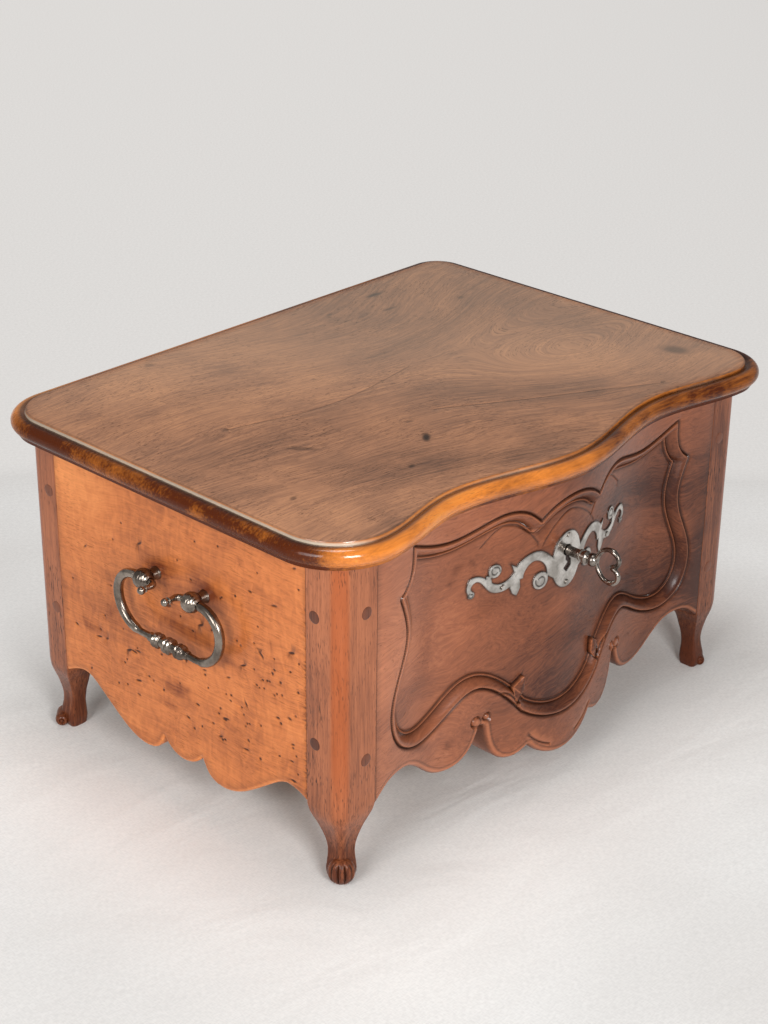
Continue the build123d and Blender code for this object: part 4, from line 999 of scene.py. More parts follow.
def front_relief(corners):
    """Depth and marks of the carving at each point of the front."""
    gap, _ = nearest(corners, CARTOUCHE)
    inwards = np.where(within(corners, CARTOUCHE), gap, -gap)
    depth = np.interp(inwards, MOULDING[:, 0], MOULDING[:, 1])
    groove = np.interp(inwards, MOULDING[:, 0], MOULDING_DARK)
    # painted highlights along the two beads of the moulding
    edge_and_highlight = bell(inwards - 0.75, 0.4) + bell(inwards - 7.5, 0.35)
    lip, _ = nearest(corners, both_sides(FRONT_APRON), False)
    depth = depth + np.interp(lip, APRON_LIP[:, 0], APRON_LIP[:, 1])
    # painted shade in the bead's groove and along the lower rim, and a painted highlight on the rounded lip
    groove = np.maximum(groove, np.maximum(0.6 * bell(lip - 4.1, 0.4), 0.5 * bell(lip, 0.7)))
    edge_and_highlight = edge_and_highlight + 0.9 * bell(lip - 2.2, 0.8)
    depth, groove, edge_and_highlight = small_carving(corners, depth, groove, edge_and_highlight)
    joint = JOINT_X - np.abs(corners[:, 0])
    depth = depth + np.interp(joint, (0, 0.35), (0.4, 0))
    groove = np.maximum(groove, np.interp(joint, (0.15, 0.5), (1, 0)))
    # painted shade round the plate, with the patina that gathers at its edge
    halo = np.min([nearest(corners, loop)[0] for loop in PLATE_LOOPS], axis=0)
    groove = np.maximum(groove, 0.75 * bell(halo, 0.9))
    # the board seen through the keyhole is painted dark, standing for the shade inside it
    behind_keyhole = (np.abs(corners[:, 0]) < 4.6) & (corners[:, 1] > 145.4) & (corners[:, 1] < KEY_Z + 3)
    groove = np.where(behind_keyhole, 1.0, groove)
    return depth, np.clip(groove, 0, 1), np.clip(edge_and_highlight, 0, 1)


def board_loop(lower, up, across):
    """The outline of a board over its lower edge, and the heights of its points up the right side."""
    (left, left_foot), (right, right_foot) = lower[0], lower[-1]
    rise, fall = (np.linspace(foot, BODY_TOP, up)[1:] for foot in (right_foot, left_foot))
    top = [(x, BODY_TOP) for x in np.linspace(right, left, across)[1:]]
    return np.vstack([lower, [(right, z) for z in rise], top, [(left, z) for z in fall[::-1][1:]]]), rise


def front_board():
    lower = both_sides(FRONT_APRON)
    loop, sides = board_loop(lower, 80, 160)
    around = np.linspace(0, 2 * pi, 32, endpoint=False)
    keyhole = KEYHOLE * np.stack([np.cos(around), np.sin(around)], 1) + [0, KEY_Z]
    rings = [
        (side * (ex + far * cos(t)), ez + far * sin(t))
        for side in (-1, 1) for ex, ez, radius in EYES
        for far in (0.3, 0.5 * radius, 0.8 * radius, radius - 0.05, radius + 0.25, radius + 0.9, radius + 1.7)
        for t in np.linspace(0, 2 * pi, max(6, int(7 * far)), endpoint=False)
    ]
    diamond = rows_beside(DIAMOND, (0.0, 0.25, -0.25, 0.6, 1.3, 2.2, -0.7, -1.0), 0.7)
    lines = ECHO_LINES + [line for line, _ in CUTS]
    thin = [rows_beside(line, (0, 0.4, -0.4, 0.85, -0.85, 1.5, -1.5), 0.9, False) for line in lines]
    carved = spread(
        [
            loop,
            rings,
            diamond,
            diamond * [-1, 1],
            *thin,
            *[rows_beside(loop, (0.0, 0.7, -0.7, 1.5, -1.5), 1.2) for loop in PLATE_LOOPS],
            rows_beside(CARTOUCHE, MOULDING[:, 0], 1.5),
            rows_beside(lower, APRON_LIP[1:, 0], 1.4, False),
            [(side * (JOINT_X - 0.4), z) for side in (-1, 1) for z in sides[1:-1]],
        ],
        0.22,
    )
    free = field_points((-JOINT_X, 20), (JOINT_X, BODY_TOP), 3.6, carved, 2.4)
    points = np.vstack([carved[len(loop) :], free])
    clear = np.hypot(points[:, 0], points[:, 1] - KEY_Z) > KEYHOLE + 0.7

    def front(corners, depth):
        return np.stack([corners[:, 0], front_face(corners[:, 0]) + depth, corners[:, 1]], 1)

    def back(corners):
        return np.stack([corners[:, 0], np.full(len(corners), FRONT_INSIDE), corners[:, 1]], 1)

    def shade_and_smudges(corners):
        """Painted shade: the board is darker towards its right end, where the left lamp's light falls off, less so
        near its top, and darker in the recessed field; it is also smudged here and there.
        """
        x, z = corners.T
        dark = 0.36 * ease((x + 185) / 280) - 0.12 - 0.16 * ease((z - 140) / 50) * ease((x - 10) / 60)
        # painted shade towards the right and inside the field, with the smudges
        return dark + 0.08 * within(corners, CARTOUCHE) + blots(corners, SMUDGES, 1.0)

    return carved_board("carved_front", [loop, keyhole], points[clear], front_relief, front, back, shade_and_smudges)


carved_front = dress(front_board(), front_wood, "chest", "walnut", "front_panel")
also(carved_front, under_wood, lambda x, y, z: y > FRONT_INSIDE - HAIR)


# ---- end boards and back ----------------------------------------------------------------------------
SIDE_APRON = joined(
    middle_arc(32, 17.3, 41.5),
    smooth_line(((17.3, 41.5), (25, 30.5), (38, 27.8), (64, 39.5), (80, 51), (92, 57), (104, 54.8), (113, 50.4))),
)


WORM_SEEDS, WORM_COUNT = {"left": 21, "right": 34}, 130


def worm_holes(seed, count):
    """Worm holes and short channels of an end board: place, half length and width, direction, strength."""
    dice = np.random.default_rng(seed)
    made = []
    while len(made) < count:
        x, z = dice.uniform(-104, 106), dice.uniform(60, 206)
        here = (0.12 + 0.88 * ease((190 - z) / 90)) * (0.35 + 0.65 * ease((70 - x) / 110))
        if dice.random() < here:
            long = dice.choice((0.8, 1.1, 1.8, 2.8), p=(0.34, 0.3, 0.22, 0.14))
            wide = min(long, dice.uniform(0.65, 1.0))
            made.append((x, z, long, wide, dice.normal(-8, 20), dice.uniform(0.8, 1.3)))
    return made


def plain_board(name, left, right, lower, place_front, place_back, holes=(), smudges=()):
    """A flat board with a sawn lower edge, its arrises eased, seen from outside as width and height."""
    lower = lower[(lower[:, 0] > left + 0.3) & (lower[:, 0] < right - 0.3)]
    lower = np.vstack([[(left, lower[0][1])], lower, [(right, lower[-1][1])]])
    loop, rise = board_loop(lower, 60, 90)
    rows = rows_beside(lower, (0.3, 0.7, 1.2, 1.9, 2.8), 1.6, False)
    ends = [(x, z) for x in (left + 0.4, right - 0.4) for z in rise[1:-1]]
    pits = [
        (x + a, z + b)
        for x, z, long, *_ in holes
        for a in np.arange(-long - 0.6, long + 0.7, 0.5) for b in np.arange(-1.2, 1.3, 0.4)
    ]
    carved = spread([loop, rows, ends, pits], 0.22)
    free = field_points((left, 20), (right, BODY_TOP), 5.0, carved, 2.0 if len(holes) else 3.0)

    def relief(corners):
        lip, _ = nearest(corners, lower, False)
        joint = np.minimum(corners[:, 0] - left, right - corners[:, 0])
        depth = np.interp(lip, (0, 0.3, 0.7, 1.2, 1.9, 2.8), (1.5, 0.85, 0.5, 0.25, 0.08, 0))
        pit = np.clip(blots(corners, holes, 2.0), 0, 1) * (lip > 1.5)
        groove = np.maximum(np.interp(joint, (0.15, 0.5), (1, 0)), pit)
        # a faint dark line where the eased edge meets the face, and a lighter arris, partly wear and partly painted
        # highlight
        groove = np.maximum(groove, 0.3 * bell(lip - 2.6, 0.5))
        return depth + np.interp(joint, (0, 0.35), (0.4, 0)) + 0.5 * pit, groove, bell(lip - 0.6, 0.8)

    points = np.vstack([carved[len(loop) :], free])
    return carved_board(
        name, [loop], points, relief, place_front, place_back, lambda corners: blots(corners, smudges, 1.0)
    )


HANDLE_ALONG = HANDLE_Y - BODY_MIDDLE
# darker smudges on the end boards, with one paler place; the four round the handle are painted shade under and about
# it, with the iron's stain in the wood
END_SMUDGES = (
    (85.0, 95.0, 9.0, 3.0, 8, 0.3), (2.0, 82.0, 13.0, 4.0, -10, 0.3), (12.0, 68.0, 8.0, 2.4, 0, 0.25),
    (64.0, 112.0, 4.0, 5.0, 0, 0.2), (-40.0, 122.0, 9.0, 2.2, 14, 0.3), (-84.0, 146.0, 3.0, 2.0, 60, 0.25),
    (40.0, 100.0, 40.0, 24.0, 0, 0.08), (-50.0, 80.0, 40.0, 20.0, 0, 0.08), (96.0, 190.0, 44.0, 26.0, 0, -0.2),
    (HANDLE_ALONG, 150.0, 40.0, 24.0, 0, 0.1), (HANDLE_ALONG - 23, 160.0, 13.0, 9.0, 20, 0.35),
    (HANDLE_ALONG + 20, 160.0, 11.0, 8.0, 0, 0.35), (HANDLE_ALONG, 126.0, 24.0, 6.0, 0, 0.2),
)


def end_board(name, side):
    def at_depth(corners, depth):
        out = np.broadcast_to(side * (BODY_HALF_WIDTH - depth), len(corners))
        return np.stack([out, BODY_MIDDLE + corners[:, 0], corners[:, 1]], 1)

    return plain_board(
        f"{name}_end_board", FRONT_JOINT - BODY_MIDDLE, BACK_JOINT - BODY_MIDDLE, both_sides(SIDE_APRON),
        at_depth, lambda corners: at_depth(corners, PANEL), worm_holes(WORM_SEEDS[name], WORM_COUNT), END_SMUDGES,
    )


for name, side in LEFT_RIGHT:
    board = dress(end_board(name, side), side_wood, "chest", "walnut", f"{name}_side_panel")
    also(board, inside_wood, lambda x, y, z: abs(x) < BODY_HALF_WIDTH - PANEL + HAIR)

back_board = plain_board(
    "back_board", -JOINT_X, JOINT_X, np.stack([np.linspace(-JOINT_X, JOINT_X, 90), np.full(90, BACK_EDGE)], 1),
    lambda corners, depth: np.stack([-corners[:, 0], BODY_BACK - depth, corners[:, 1]], 1),
    lambda corners: np.stack([-corners[:, 0], np.full(len(corners), BODY_BACK - PANEL), corners[:, 1]], 1),
)
dress(back_board, back_wood, "chest", "walnut", "back_panel")


# ---- posts with cabriole legs -----------------------------------------------------------------------
def post_ring(x, y, z, width, depth, side, end, outer, beside, inner):
    """A four-sided ring with rounded corners, going round anticlockwise."""
    ring = []
    for sx, sy, start in ((1, 1, 0), (-1, 1, 90), (-1, -1, 180), (1, -1, 270)):
        radius = {2: outer, 0: beside, -2: inner}[sx * side + sy * end]
        cx, cy = sx * (width / 2 - radius), sy * (depth / 2 - radius)
        for angle in np.radians(np.linspace(start, start + 90, 13)):
            ring.append((x + cx + radius * cos(angle), y + cy + radius * sin(angle), z))
    return ring


def toe_profile(radius):
    """The rolled toe as a turned piece: place along its axis and radius, with a ring and an eye in each end."""
    half = [
        (-8.0, 0.05), (-8.2, 0.6), (-8.0, 1.1), (-7.2, 1.25), (-7.2, 1.6), (-8.1, 2.0), (-8.3, 0.6 * radius),
        (-7.9, 0.75 * radius), (-7.2, 0.86 * radius), (-6.2, 0.93 * radius),
    ]
    middle = [(t, radius * (1.04 - 0.0016 * t * t)) for t in np.arange(-5.6, 5.7, 0.35)]
    return half + middle + [(-t, r) for t, r in half[::-1]]


def paw_piece(name, x, y, side, end):
    """The near foot: a rounded paw with flutes between its toes."""
    rings, groove = [], []
    for rise in np.linspace(-pi / 2 + 0.05, pi / 2 - 0.05, 30):
        ring = []
        for turn in np.linspace(-pi, pi, 96, endpoint=False):
            flute = sum(bell(turn - radians(k), radians(5.5)) for k in (-54, -18, 18, 54))
            flute *= ease((1.1 - abs(rise)) / 0.5)
            size = cos(rise) ** 0.8 * (1 - 0.2 * flute)
            out, across = (8.5 + 6.7 * cos(turn) * size) / sqrt(2), 8.3 * sin(turn) * size / sqrt(2)
            ring.append((x + side * out - end * across, y + end * out + side * across, 8.4 + 8.35 * sin(rise)))
            # painted shade in the flutes
            groove.append(min(1.0, 1.1 * flute))
        rings.append(ring)
    # painted shade over the whole paw, as on the legs
    return loft(name, rings, 60.0, marks={"groove": groove, "stain_and_shade": [0.3] * len(groove)})


def post_faces(end):
    """Where the outer face and the joint of a front or back post stand."""
    return (BODY_FRONT, FRONT_JOINT) if end < 0 else (BODY_BACK, BACK_JOINT)


def post_piece(name, side, end, corner, toe, toe_radius):
    """A square post in one with its leg, which ends in a rolled toe or, at the front left, in a fluted paw."""
    face_y, joint_y = post_faces(end)
    x, y, post_depth = side * (BODY_HALF_WIDTH - POST / 2), (face_y + joint_y) / 2, abs(face_y - joint_y)
    table = np.array(LEG_SECTIONS)
    sides = smooth_line(table[:, :2], step=0.5)
    rings, amber, stain_and_shade = [], [], []
    for z in np.concatenate([np.linspace(0, LEG_TOP, 66), np.linspace(LEG_TOP + 3, BODY_TOP, 40)]):
        size = np.interp(z, sides[:, 0], sides[:, 1]) if z < LEG_TOP else POST
        shift, share, beside, inner = (np.interp(z, table[:, 0], table[:, k]) for k in (2, 3, 4, 5))
        size_y = size - (POST - post_depth) * max(0, size - ANKLE) / (POST - ANKLE)
        ring = post_ring(
            x + side * shift / sqrt(2), y + end * shift / sqrt(2), z, size, size_y, side, end, corner * share,
            beside, inner,
        )
        rings.append(ring)
        for px, py, _ in ring:
            out_x, out_y = side * px - (BODY_HALF_WIDTH - corner), end * py - (abs(face_y) - corner)
            round_part = ease(min(out_x, out_y) / (0.35 * corner) - 0.05)
            # the rounded corner is painted amber: thick polish and wear, with painted reflection
            amber.append(0.66 * round_part * ease((z - 30) / 60))
            # painted shade: the legs are darker under the box, and the right-hand posts, further from the left lamp,
            # darker all over
            stain_and_shade.append(0.36 * ease((62 - z) / 50) + (0.2 if side > 0 else 0.0))
    leg = loft(name, rings, 32.0, marks={"amber": amber, "stain_and_shade": stain_and_shade})
    if (side, end) == (-1, -1):
        return one_piece(name, [leg, paw_piece(name + "_paw", x, y, side, end)])
    shrink = toe_radius / TOE_DRAWN
    middle = np.array([x + side * toe / sqrt(2), y + end * toe / sqrt(2), TOE_HEIGHT * shrink])
    across = np.array([-end, side, 0]) / sqrt(2)
    rings = turned_rings(middle, across, [(t * shrink, r) for t, r in toe_profile(toe_radius)], 48)
    # painted shade on the toes, darker on the right-hand feet
    dark = [0.5 if side > 0 else 0.3] * sum(len(r) for r in rings)
    return one_piece(name, [leg, loft(name + "_toe", rings, 40.0, marks={"stain_and_shade": dark})])


for name, (side, end, corner, toe, toe_radius) in POSTS.items():
    piece = post_piece(f"{name}_post_and_leg", side, end, corner, toe, toe_radius)
    dress(piece, post_wood, "chest", "walnut", f"{name}_post")


# ---- pegs -------------------------------------------------------------------------------------------
def peg_tree():
    """Geometry nodes: a low dome on every point, facing along the point's outward way."""
    tree = bpy.data.node_groups.new("tenon_peg_heads", "GeometryNodeTree")
    for label, kind in (("Geometry", "Geometry"), ("Radius", "Float"), ("Rise", "Float"), ("Finish", "Material")):
        tree.interface.new_socket(label, in_out="INPUT", socket_type="NodeSocket" + kind)
    tree.interface.new_socket("Geometry", in_out="OUTPUT", socket_type="NodeSocketGeometry")
    given, out = tree.nodes.new("NodeGroupInput"), tree.nodes.new("NodeGroupOutput")
    dome = put(tree, "GeometryNodeMeshUVSphere", Segments=28, Rings=12, Radius=1.0)
    radius, rise = given.outputs["Radius"], given.outputs["Rise"]
    scale = put(tree, "ShaderNodeCombineXYZ", X=radius, Y=radius, Z=rise)
    flat = put(tree, "GeometryNodeTransform", Geometry=dome.outputs["Mesh"], Scale=scale.outputs[0])
    smooth = put(tree, "GeometryNodeSetShadeSmooth", Geometry=flat.outputs[0])
    way = put(tree, "GeometryNodeInputNamedAttribute", {"data_type": "FLOAT_VECTOR"}, Name="outward")
    facing = put(tree, "FunctionNodeAlignRotationToVector", {"axis": "Z"}, Vector=way.outputs["Attribute"])
    heads = put(
        tree, "GeometryNodeInstanceOnPoints", Points=given.outputs["Geometry"], Instance=smooth.outputs[0],
        Rotation=facing.outputs[0],
    )
    real = put(tree, "GeometryNodeRealizeInstances", Geometry=heads.outputs[0])
    painted = put(tree, "GeometryNodeSetMaterial", Geometry=real.outputs[0], Material=given.outputs["Finish"])
    wire(out.inputs[0], painted.outputs[0])
    return tree


def repeated(name, tree, places, ways, inputs):
    """Run a geometry nodes tree on points that face outwards and keep its result as a plain mesh."""
    points = bpy.data.meshes.new(name + "_places")
    points.from_pydata(places, [], [])
    layer = points.attributes.new("outward", "FLOAT_VECTOR", "POINT")
    layer.data.foreach_set("vector", np.array(ways, float).ravel())
    holder = new_object(name + "_places", points)
    run = holder.modifiers.new("run", "NODES")
    run.node_group = tree
    for socket in tree.interface.items_tree:
        if socket.in_out == "INPUT" and socket.name in inputs:
            run[socket.identifier] = inputs[socket.name]
    shown = holder.evaluated_get(bpy.context.evaluated_depsgraph_get())
    made = bpy.data.meshes.new_from_object(shown)
    holder.modifiers.remove(run)
    bpy.data.objects.remove(holder)
    made.name = name
    return new_object(name, made)


peg_places, peg_ways = [], []
for side, end, *_ in POSTS.values():
    face_y, joint_y = post_faces(end)
    for height in FRONT_PEG_HEIGHTS:
        peg_places.append((side * (JOINT_X + PEG_FROM_JOINT) * MM, face_y * MM, height * MM))
        peg_ways.append((0, end, 0))
    for height in SIDE_PEG_HEIGHTS:
        peg_places.append((side * BODY_HALF_WIDTH * MM, (joint_y + end * SIDE_PEG_FROM_JOINT) * MM, height * MM))
        peg_ways.append((side, 0, 0))
peg_sizes = {"Radius": PEG_RADIUS * MM, "Rise": PEG_RISE * MM, "Finish": peg_wood}
peg_heads = repeated("peg_heads", peg_tree(), peg_places, peg_ways, peg_sizes)
dress(peg_heads, peg_wood, "chest", "peg_wood", "tenon_pegs")


# ---- handles ----------------------------------------------------------------------------------------
def bail_path():
    """The bent rod as outward, along and up from the middle of its turning line, from one tail ball to the other."""
    tail = [(13.4 - t, -10.5, 0) for t in np.arange(0, 9.9, 0.4)]
    bend = [(3.5 - 3.5 * sin(t), -14 + 3.5 * cos(t), 0) for t in np.linspace(0, pi / 2, 9)]
    pivot = [(0, -t, 0) for t in np.arange(15, 29, 1.0)]
    upper = [(0, -29 - 16.5 * sin(t), -16.5 + 16.5 * cos(t)) for t in np.linspace(0, pi / 2, 22)]
    lower = [(0, -24 - 21.5 * cos(t), -16.5 - 21.5 * sin(t)) for t in np.linspace(0, pi / 2, 24)[1:]]
    bar = [(0, -t, -38) for t in np.arange(23.6, 0, -0.4)]
    half = np.array(tail + bend + pivot + upper + lower + bar)
    return np.vstack([half, half[::-1] * [1, -1, 1]])


def bail_radius(path):
    """Radius of the rod at each point: ball ends, thin turning ends, a full bar and turned knops in its middle."""
    out, along, up = path.T
    radius = np.interp(np.abs(along), (15, 27.6, 29.0, 38.0), (2.15, 2.15, 2.9, 3.1))
    tail = (out > 3.4) & (up > -1)
    ball = np.sqrt(np.maximum(2.6**2 - (out - 10.8) ** 2, 0.0))
    thin = np.interp(out, (3.5, 5.0, 7.2, 7.6, 8.2, 8.5), (2.0, 1.75, 1.6, 2.2, 2.2, 1.5))
    radius = np.where(tail, np.where(out > 8.9, ball, thin), radius)
    bar = up < -37.5
    knop = np.interp(
        np.abs(along),
        (0, 0.5, 1.0, 1.9, 2.6, 3.1, 4.2, 7.4, 7.8, 8.4, 9.0, 9.4, 9.9, 11.2, 12.5, 13.6, 14.4, 17.0),
        (3.9, 4.2, 5.2, 5.3, 4.6, 3.4, 3.2, 3.2, 4.4, 4.9, 4.4, 3.5, 4.3, 4.9, 4.5, 3.4, 3.0, 3.0),
    )
    return np.where(bar & (np.abs(along) < 17), knop, radius)


def bail_piece(name, side):
    path = bail_path()
    placed = (path + [PIVOT_X, HANDLE_Y, HANDLE_Z]) * [side, 1, 1]
    return loft(name, tube_rings(placed, np.maximum(bail_radius(path), 0.05), 28), 35.0)


def stud_piece(name, side):
    """Two round-headed studs, each head bored along the bail's turning line and grooved like a wound strap."""
    parts = []
    for end in (-1, 1):
        y = HANDLE_Y + end * STUD_SPAN / 2
        half = sqrt(STUD_HEAD**2 - STUD_BORE**2)
        head = []
        for t in np.linspace(-half, half, 41):
            wound = 0.35 * (bell(abs(t) - 1.9, 0.35) + bell(abs(t) - 4.2, 0.35))
            head.append((t, max(sqrt(max(STUD_HEAD**2 - t * t, 0)) - wound, STUD_BORE)))
        head += [(half - 0.4, STUD_BORE), (0.4 - half, STUD_BORE), (-half, STUD_BORE)]
        rings = turned_rings((side * PIVOT_X, y, HANDLE_Z), (0, 1, 0), head, 48)
        parts.append(loft(f"{name}_head", rings, 40.0, cap=False))
        shank = [(-20.8, 0.1), (-20.8, 2.9), (0.0, 2.9), (0.05, 4.4), (0.8, 4.3), (1.6, 3.8), (6.6, 3.6), (6.7, 0.1)]
        rings = turned_rings((side * BODY_HALF_WIDTH, y, HANDLE_Z), (side, 0, 0), shank, 40)
        parts.append(loft(f"{name}_shank", rings, 35.0))
    return one_piece(name, parts)


for name, side in LEFT_RIGHT:
    dress(bail_piece(f"{name}_drop_handle", side), handle_iron, f"{name}_bail", "dark_iron", f"{name}_bail")
for name, side in LEFT_RIGHT:
    dress(stud_piece(f"{name}_round_studs", side), handle_iron, "chest", "dark_iron", f"{name}_handle_studs")


# ---- escutcheon and key -----------------------------------------------------------------------------
# turns in the ends of the scrolls: place, radius, direction in degrees in which the turn starts
VOLUTES = ((56.4, 163.2, 4.5, 200), (73.0, 151.6, 2.5, 60), (22.6, 147.4, 5.6, 20))


def escutcheon_piece():
    """The pierced plate: bevelled all round, with a turn cut into the end of each scroll."""
    loops = PLATE_LOOPS
    rows = [rows_beside(loop, (0.35, -0.35, 0.8, -0.8, 1.4, -1.4), 0.8) for loop in loops]
    wheels = [
        (side * (x + r * cos(t)), z + r * sin(t))
        for side in (-1, 1) for x, z, radius, _ in VOLUTES for r in np.arange(0.2, radius, 0.5)
        for t in np.linspace(0, 2 * pi, max(5, int(9 * r)), endpoint=False)
    ]
    taken = spread([*loops, wheels, *rows], 0.25)
    points = taken[sum(len(loop) for loop in loops) :]
    free = field_points((-84, 134), (84, 184), 2.0, taken, 1.2)

    def relief(corners):
        rim = np.min([nearest(corners, loop)[0] for loop in loops], axis=0)
        depth = 0.5 * np.exp(-rim / 0.6)
        groove = 0.75 * bell(rim, 0.3)
        folded = np.stack([np.abs(corners[:, 0]), corners[:, 1]], 1)
        for x, z, radius, start in VOLUTES:
            dx, dz = folded[:, 0] - x, folded[:, 1] - z
            turn = ((np.degrees(np.arctan2(dz, dx)) - start) % 360) / 360
            cut = np.abs(np.hypot(dx, dz) - radius * (0.38 + 0.36 * turn))
            depth = depth + 0.45 * bell(cut, 0.45)
            groove = np.maximum(groove, 0.95 * bell(cut, 0.45))
        return depth, groove, np.zeros(len(corners))

    def front(corners, depth):
        y = front_face(corners[:, 0]) + FIELD_DEPTH - ESCUTCHEON + depth
        return np.stack([corners[:, 0], y, corners[:, 1]], 1)

    def back(corners):
        return np.stack([corners[:, 0], front_face(corners[:, 0]) + FIELD_DEPTH, corners[:, 1]], 1)

    return carved_board("pierced_escutcheon", loops, np.vstack([points, free]), relief, front, back)


def key_piece():
    """A key with a turned shank, a ball, a heart-shaped bow of bent wire and a plain bit."""
    shank = [
        (-86.5, 2.2), (-87.0, 3.1), (-138.8, 3.1), (-139.6, 3.9), (-140.6, 3.9), (-141.2, 3.1), (-142.0, 3.1),
        (-142.8, 4.2), (-144.4, 4.2), (-145.2, 3.0), (-147.0, 2.4), (-149.0, 2.4),
    ]
    rod = loft("shank", turned_rings((0, 0, KEY_Z), (0, 1, 0), shank), 35.0)
    ball = [(-149.0 + 4.2 * sin(t), 4.2 * cos(t)) for t in np.linspace(pi / 2, -pi / 2, 25)]
    ball = loft("ball", turned_rings((0, 0, KEY_Z), (0, 1, 0), ball), 35.0)
    half = smooth_line(
        ((-151.5, 161.6), (-153.6, 166.5), (-159.5, 171.6), (-166.0, 170.6), (-168.6, 166.2), (-166.2, 162.3),
         (-164.2, 161.3)), step=0.6,
    )
    bent = even_steps(np.vstack([half, half[::-1] * [1, -1] + [0, 2 * KEY_Z]]), 0.6)
    thick = 1.5 + 0.35 * bell(bent[:, 0] + 164.5, 2.2)
    bow = loft("bow", tube_rings(np.insert(bent, 0, 0, axis=1), thick, 20), 35.0)
    corners = ((-1.3, -94.5), (1.3, -94.5), (1.3, -87.5), (-1.3, -87.5))
    blade = [[(x, y, z) for x, y in corners] for z in (151.5, 161.0)]
    bit = loft("bit", blade, 35.0)
    return one_piece("bent_wire_key", [rod, ball, bow, bit])


dress(escutcheon_piece(), plate_steel, "chest", "bright_steel", "escutcheon")
dress(key_piece(), key_steel, "key", "bright_steel", "key")


# ---- finishes of the nodes that stay ----------------------------------------------------------------
FITTINGS = ("handle_washers", "handle_nuts", "hinge_body_leaf", "hinge_lid_leaf", "hinge_pin")
KEPT = {
    inner_wood: ("bottom_board",),
    handle_iron: (
        "body_hinge_screws", "lid_hinge_screws", *[f"{side}_{kind}" for side, _ in LEFT_RIGHT for kind in FITTINGS]
    ),
    plate_steel: ("escutcheon_pins",),
    lock_steel: ("lock_plate", "lock_case", "lock_bolt", "lid_staple", "lock_screws", "staple_screws"),
}
for finish, names in KEPT.items():
    for name in names:
        node = NODES[name]
        if not node.material_slots:
            node.data.materials.append(finish)
        for place in node.material_slots:
            place.material = finish


# ---- floor, lights and camera -----------------------------------------------------------------------
LINEN, LINEN_LIT, LINEN_BRIGHT = tone(226, 223, 220), tone(238, 236, 233), tone(240, 239, 237)
THREAD, WALL_RIGHT = tone(186, 184, 182), tone(208, 206, 204)
WALL_WAY, RIGHTWARDS = (0.7307, 0.6826, 0), (0.6826, -0.7307, 0)      # away from the camera, and to its right
FLOOR_REACH, FOOTPRINT = 55.0, (0.19, 0.14, 0)


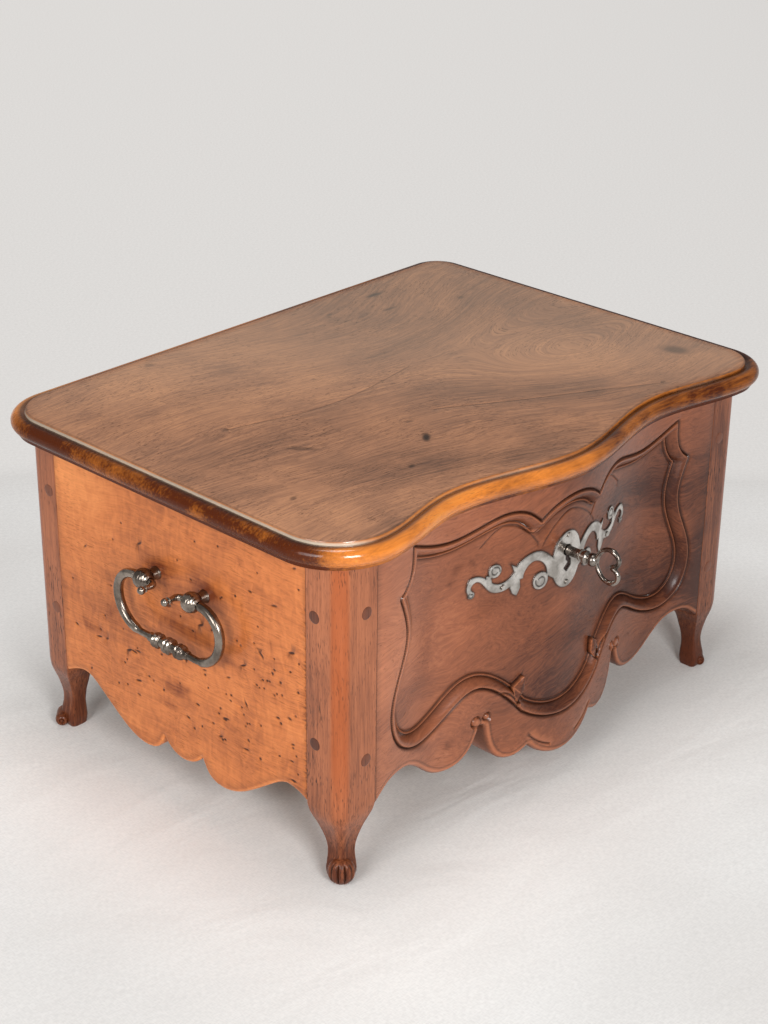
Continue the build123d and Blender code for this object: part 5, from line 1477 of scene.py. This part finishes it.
def floor_piece():
    """A floor of pale linen that runs on as the wall behind, where it no longer takes light or shadow."""
    build = bmesh.new()
    bmesh.ops.create_grid(build, x_segments=8, y_segments=8, size=FLOOR_REACH)
    floor = new_object("pale_floor", mesh_of("pale_floor", build))
    finish, tree, shader = new_finish("pale_linen")
    place = put(tree, "ShaderNodeTexCoord").outputs["Object"]
    wavy = sums(tree, "MULTIPLY", noise(tree, place, 5.0, 2.0), 0.06)
    behind = between(tree, sums(tree, "ADD", vectors(tree, "DOT_PRODUCT", place, WALL_WAY), wavy), 0.31, 0.42)
    beyond = vectors(tree, "SUBTRACT", vectors(tree, "ABSOLUTE", place), FOOTPRINT)
    beyond = vectors(tree, "LENGTH", vectors(tree, "MAXIMUM", beyond, (0, 0, 0)))
    behind = sums(tree, "MAXIMUM", behind, between(tree, beyond, 0.5, 1.1))
    cloud = between(tree, noise(tree, place, 3.0, 3.0, 0.5), 0.3, 0.7)
    threads = [noise(tree, stretched(tree, place, way), 260.0, 1.0) for way in ((1, 5, 1), (5, 1, 1))]
    weave = sums(tree, "ADD", *threads)
    folds = noise(tree, stretched(tree, place, (1, 2.2, 1)), 7.0, 3.0, 0.45, 1.2)
    woven = sums(tree, "MULTIPLY", between(tree, sums(tree, "MULTIPLY", weave, 0.5), 0.35, 0.65), 0.26)
    colour = blend_colours(tree, behind, blend_colours(tree, cloud, LINEN, LINEN_LIT), LINEN)
    wire(shader.inputs["Base Color"], blend_colours(tree, woven, colour, THREAD))
    shader.inputs["Roughness"].default_value = 0.9
    shader.inputs["Specular IOR Level"].default_value = 0.1
    height = sums(tree, "ADD", sums(tree, "MULTIPLY", weave, 0.05), sums(tree, "MULTIPLY", folds, 2.0))
    height = sums(tree, "MULTIPLY", height, sums(tree, "SUBTRACT", 1.0, behind))
    bump = put(tree, "ShaderNodeBump", Strength=0.35, Distance=0.003, Height=height)
    wire(shader.inputs["Normal"], bump.outputs[0])
    # painted shade: the wall darkens towards the right
    wall = between(tree, vectors(tree, "DOT_PRODUCT", place, RIGHTWARDS), -0.3, 2.4)
    wall = blend_colours(tree, wall, LINEN, WALL_RIGHT)
    shown = blend_colours(tree, behind, blend_colours(tree, cloud, LINEN, LINEN_BRIGHT), wall)
    glow = put(tree, "ShaderNodeEmission", Color=blend_colours(tree, woven, shown, THREAD), Strength=1.0)
    rays = put(tree, "ShaderNodeLightPath").outputs
    seen = sums(tree, "MAXIMUM", rays["Is Camera Ray"], rays["Is Glossy Ray"])
    seen = sums(tree, "MAXIMUM", seen, rays["Is Transmission Ray"])
    evened = sums(tree, "MAXIMUM", behind, between(tree, beyond, 0.02, 0.17, 0.0, 0.72))
    both = put(tree, "ShaderNodeMixShader", Fac=sums(tree, "MULTIPLY", seen, evened))
    wire(both.inputs[1], shader.outputs[0])
    wire(both.inputs[2], glow.outputs[0])
    wire(tree.nodes["Material Output"].inputs["Surface"], both.outputs[0])
    floor.data.materials.append(finish)


def soft_light(name, place, target, size, power):
    lamp = bpy.data.lights.new(name, "AREA")
    lamp.shape, lamp.size, lamp.size_y, lamp.energy = "RECTANGLE", size[0], size[1], power
    holder = bpy.data.objects.new(name, lamp)
    holder.location = place
    holder.rotation_mode = "QUATERNION"
    holder.rotation_quaternion = (Vector(target) - Vector(place)).to_track_quat("-Z", "Y")
    bpy.context.scene.collection.objects.link(holder)


def studio():
    floor_piece()
    soft_light("left_light", (-1.25, -0.25, 0.65), (0, 0, 0.1), (0.6, 0.5), 8.2)
    soft_light("right_light", (-0.6, -1.05, 0.6), (0, 0, 0.1), (0.35, 0.35), 10.0)
    soft_light("top_light", (-0.1, 0.0, 2.0), (0, 0, 0.1), (0.6, 0.6), 8.0)
    world = bpy.data.worlds.new("pale_room")
    world.use_nodes = True
    background = world.node_tree.nodes["Background"]
    background.inputs["Color"].default_value = tone(236, 234, 232)
    background.inputs["Strength"].default_value = 0.4
    bpy.context.scene.world = world
    bpy.context.scene.view_settings.view_transform = "Standard"


def camera():
    around, down, roll = radians(-46.95), radians(25.9), radians(0.64)
    forward = Vector((-sin(around) * cos(down), cos(around) * cos(down), -sin(down)))
    right = Vector((cos(around), sin(around), 0))
    up = right.cross(forward)
    tilted_right = cos(roll) * right + sin(roll) * up
    tilted_up = cos(roll) * up - sin(roll) * right
    lens = bpy.data.cameras.new("viewer")
    lens.sensor_fit, lens.sensor_height, lens.lens = "VERTICAL", 36.0, 71.445
    lens.clip_start, lens.clip_end = 0.05, 60.0
    holder = bpy.data.objects.new("viewer", lens)
    turned = Matrix((tilted_right, tilted_up, -forward)).transposed()
    holder.matrix_world = Matrix.Translation((-0.8889, -0.80554, 0.72475)) @ turned.to_4x4()
    bpy.context.scene.collection.objects.link(holder)
    bpy.context.scene.camera = holder


studio()
camera()
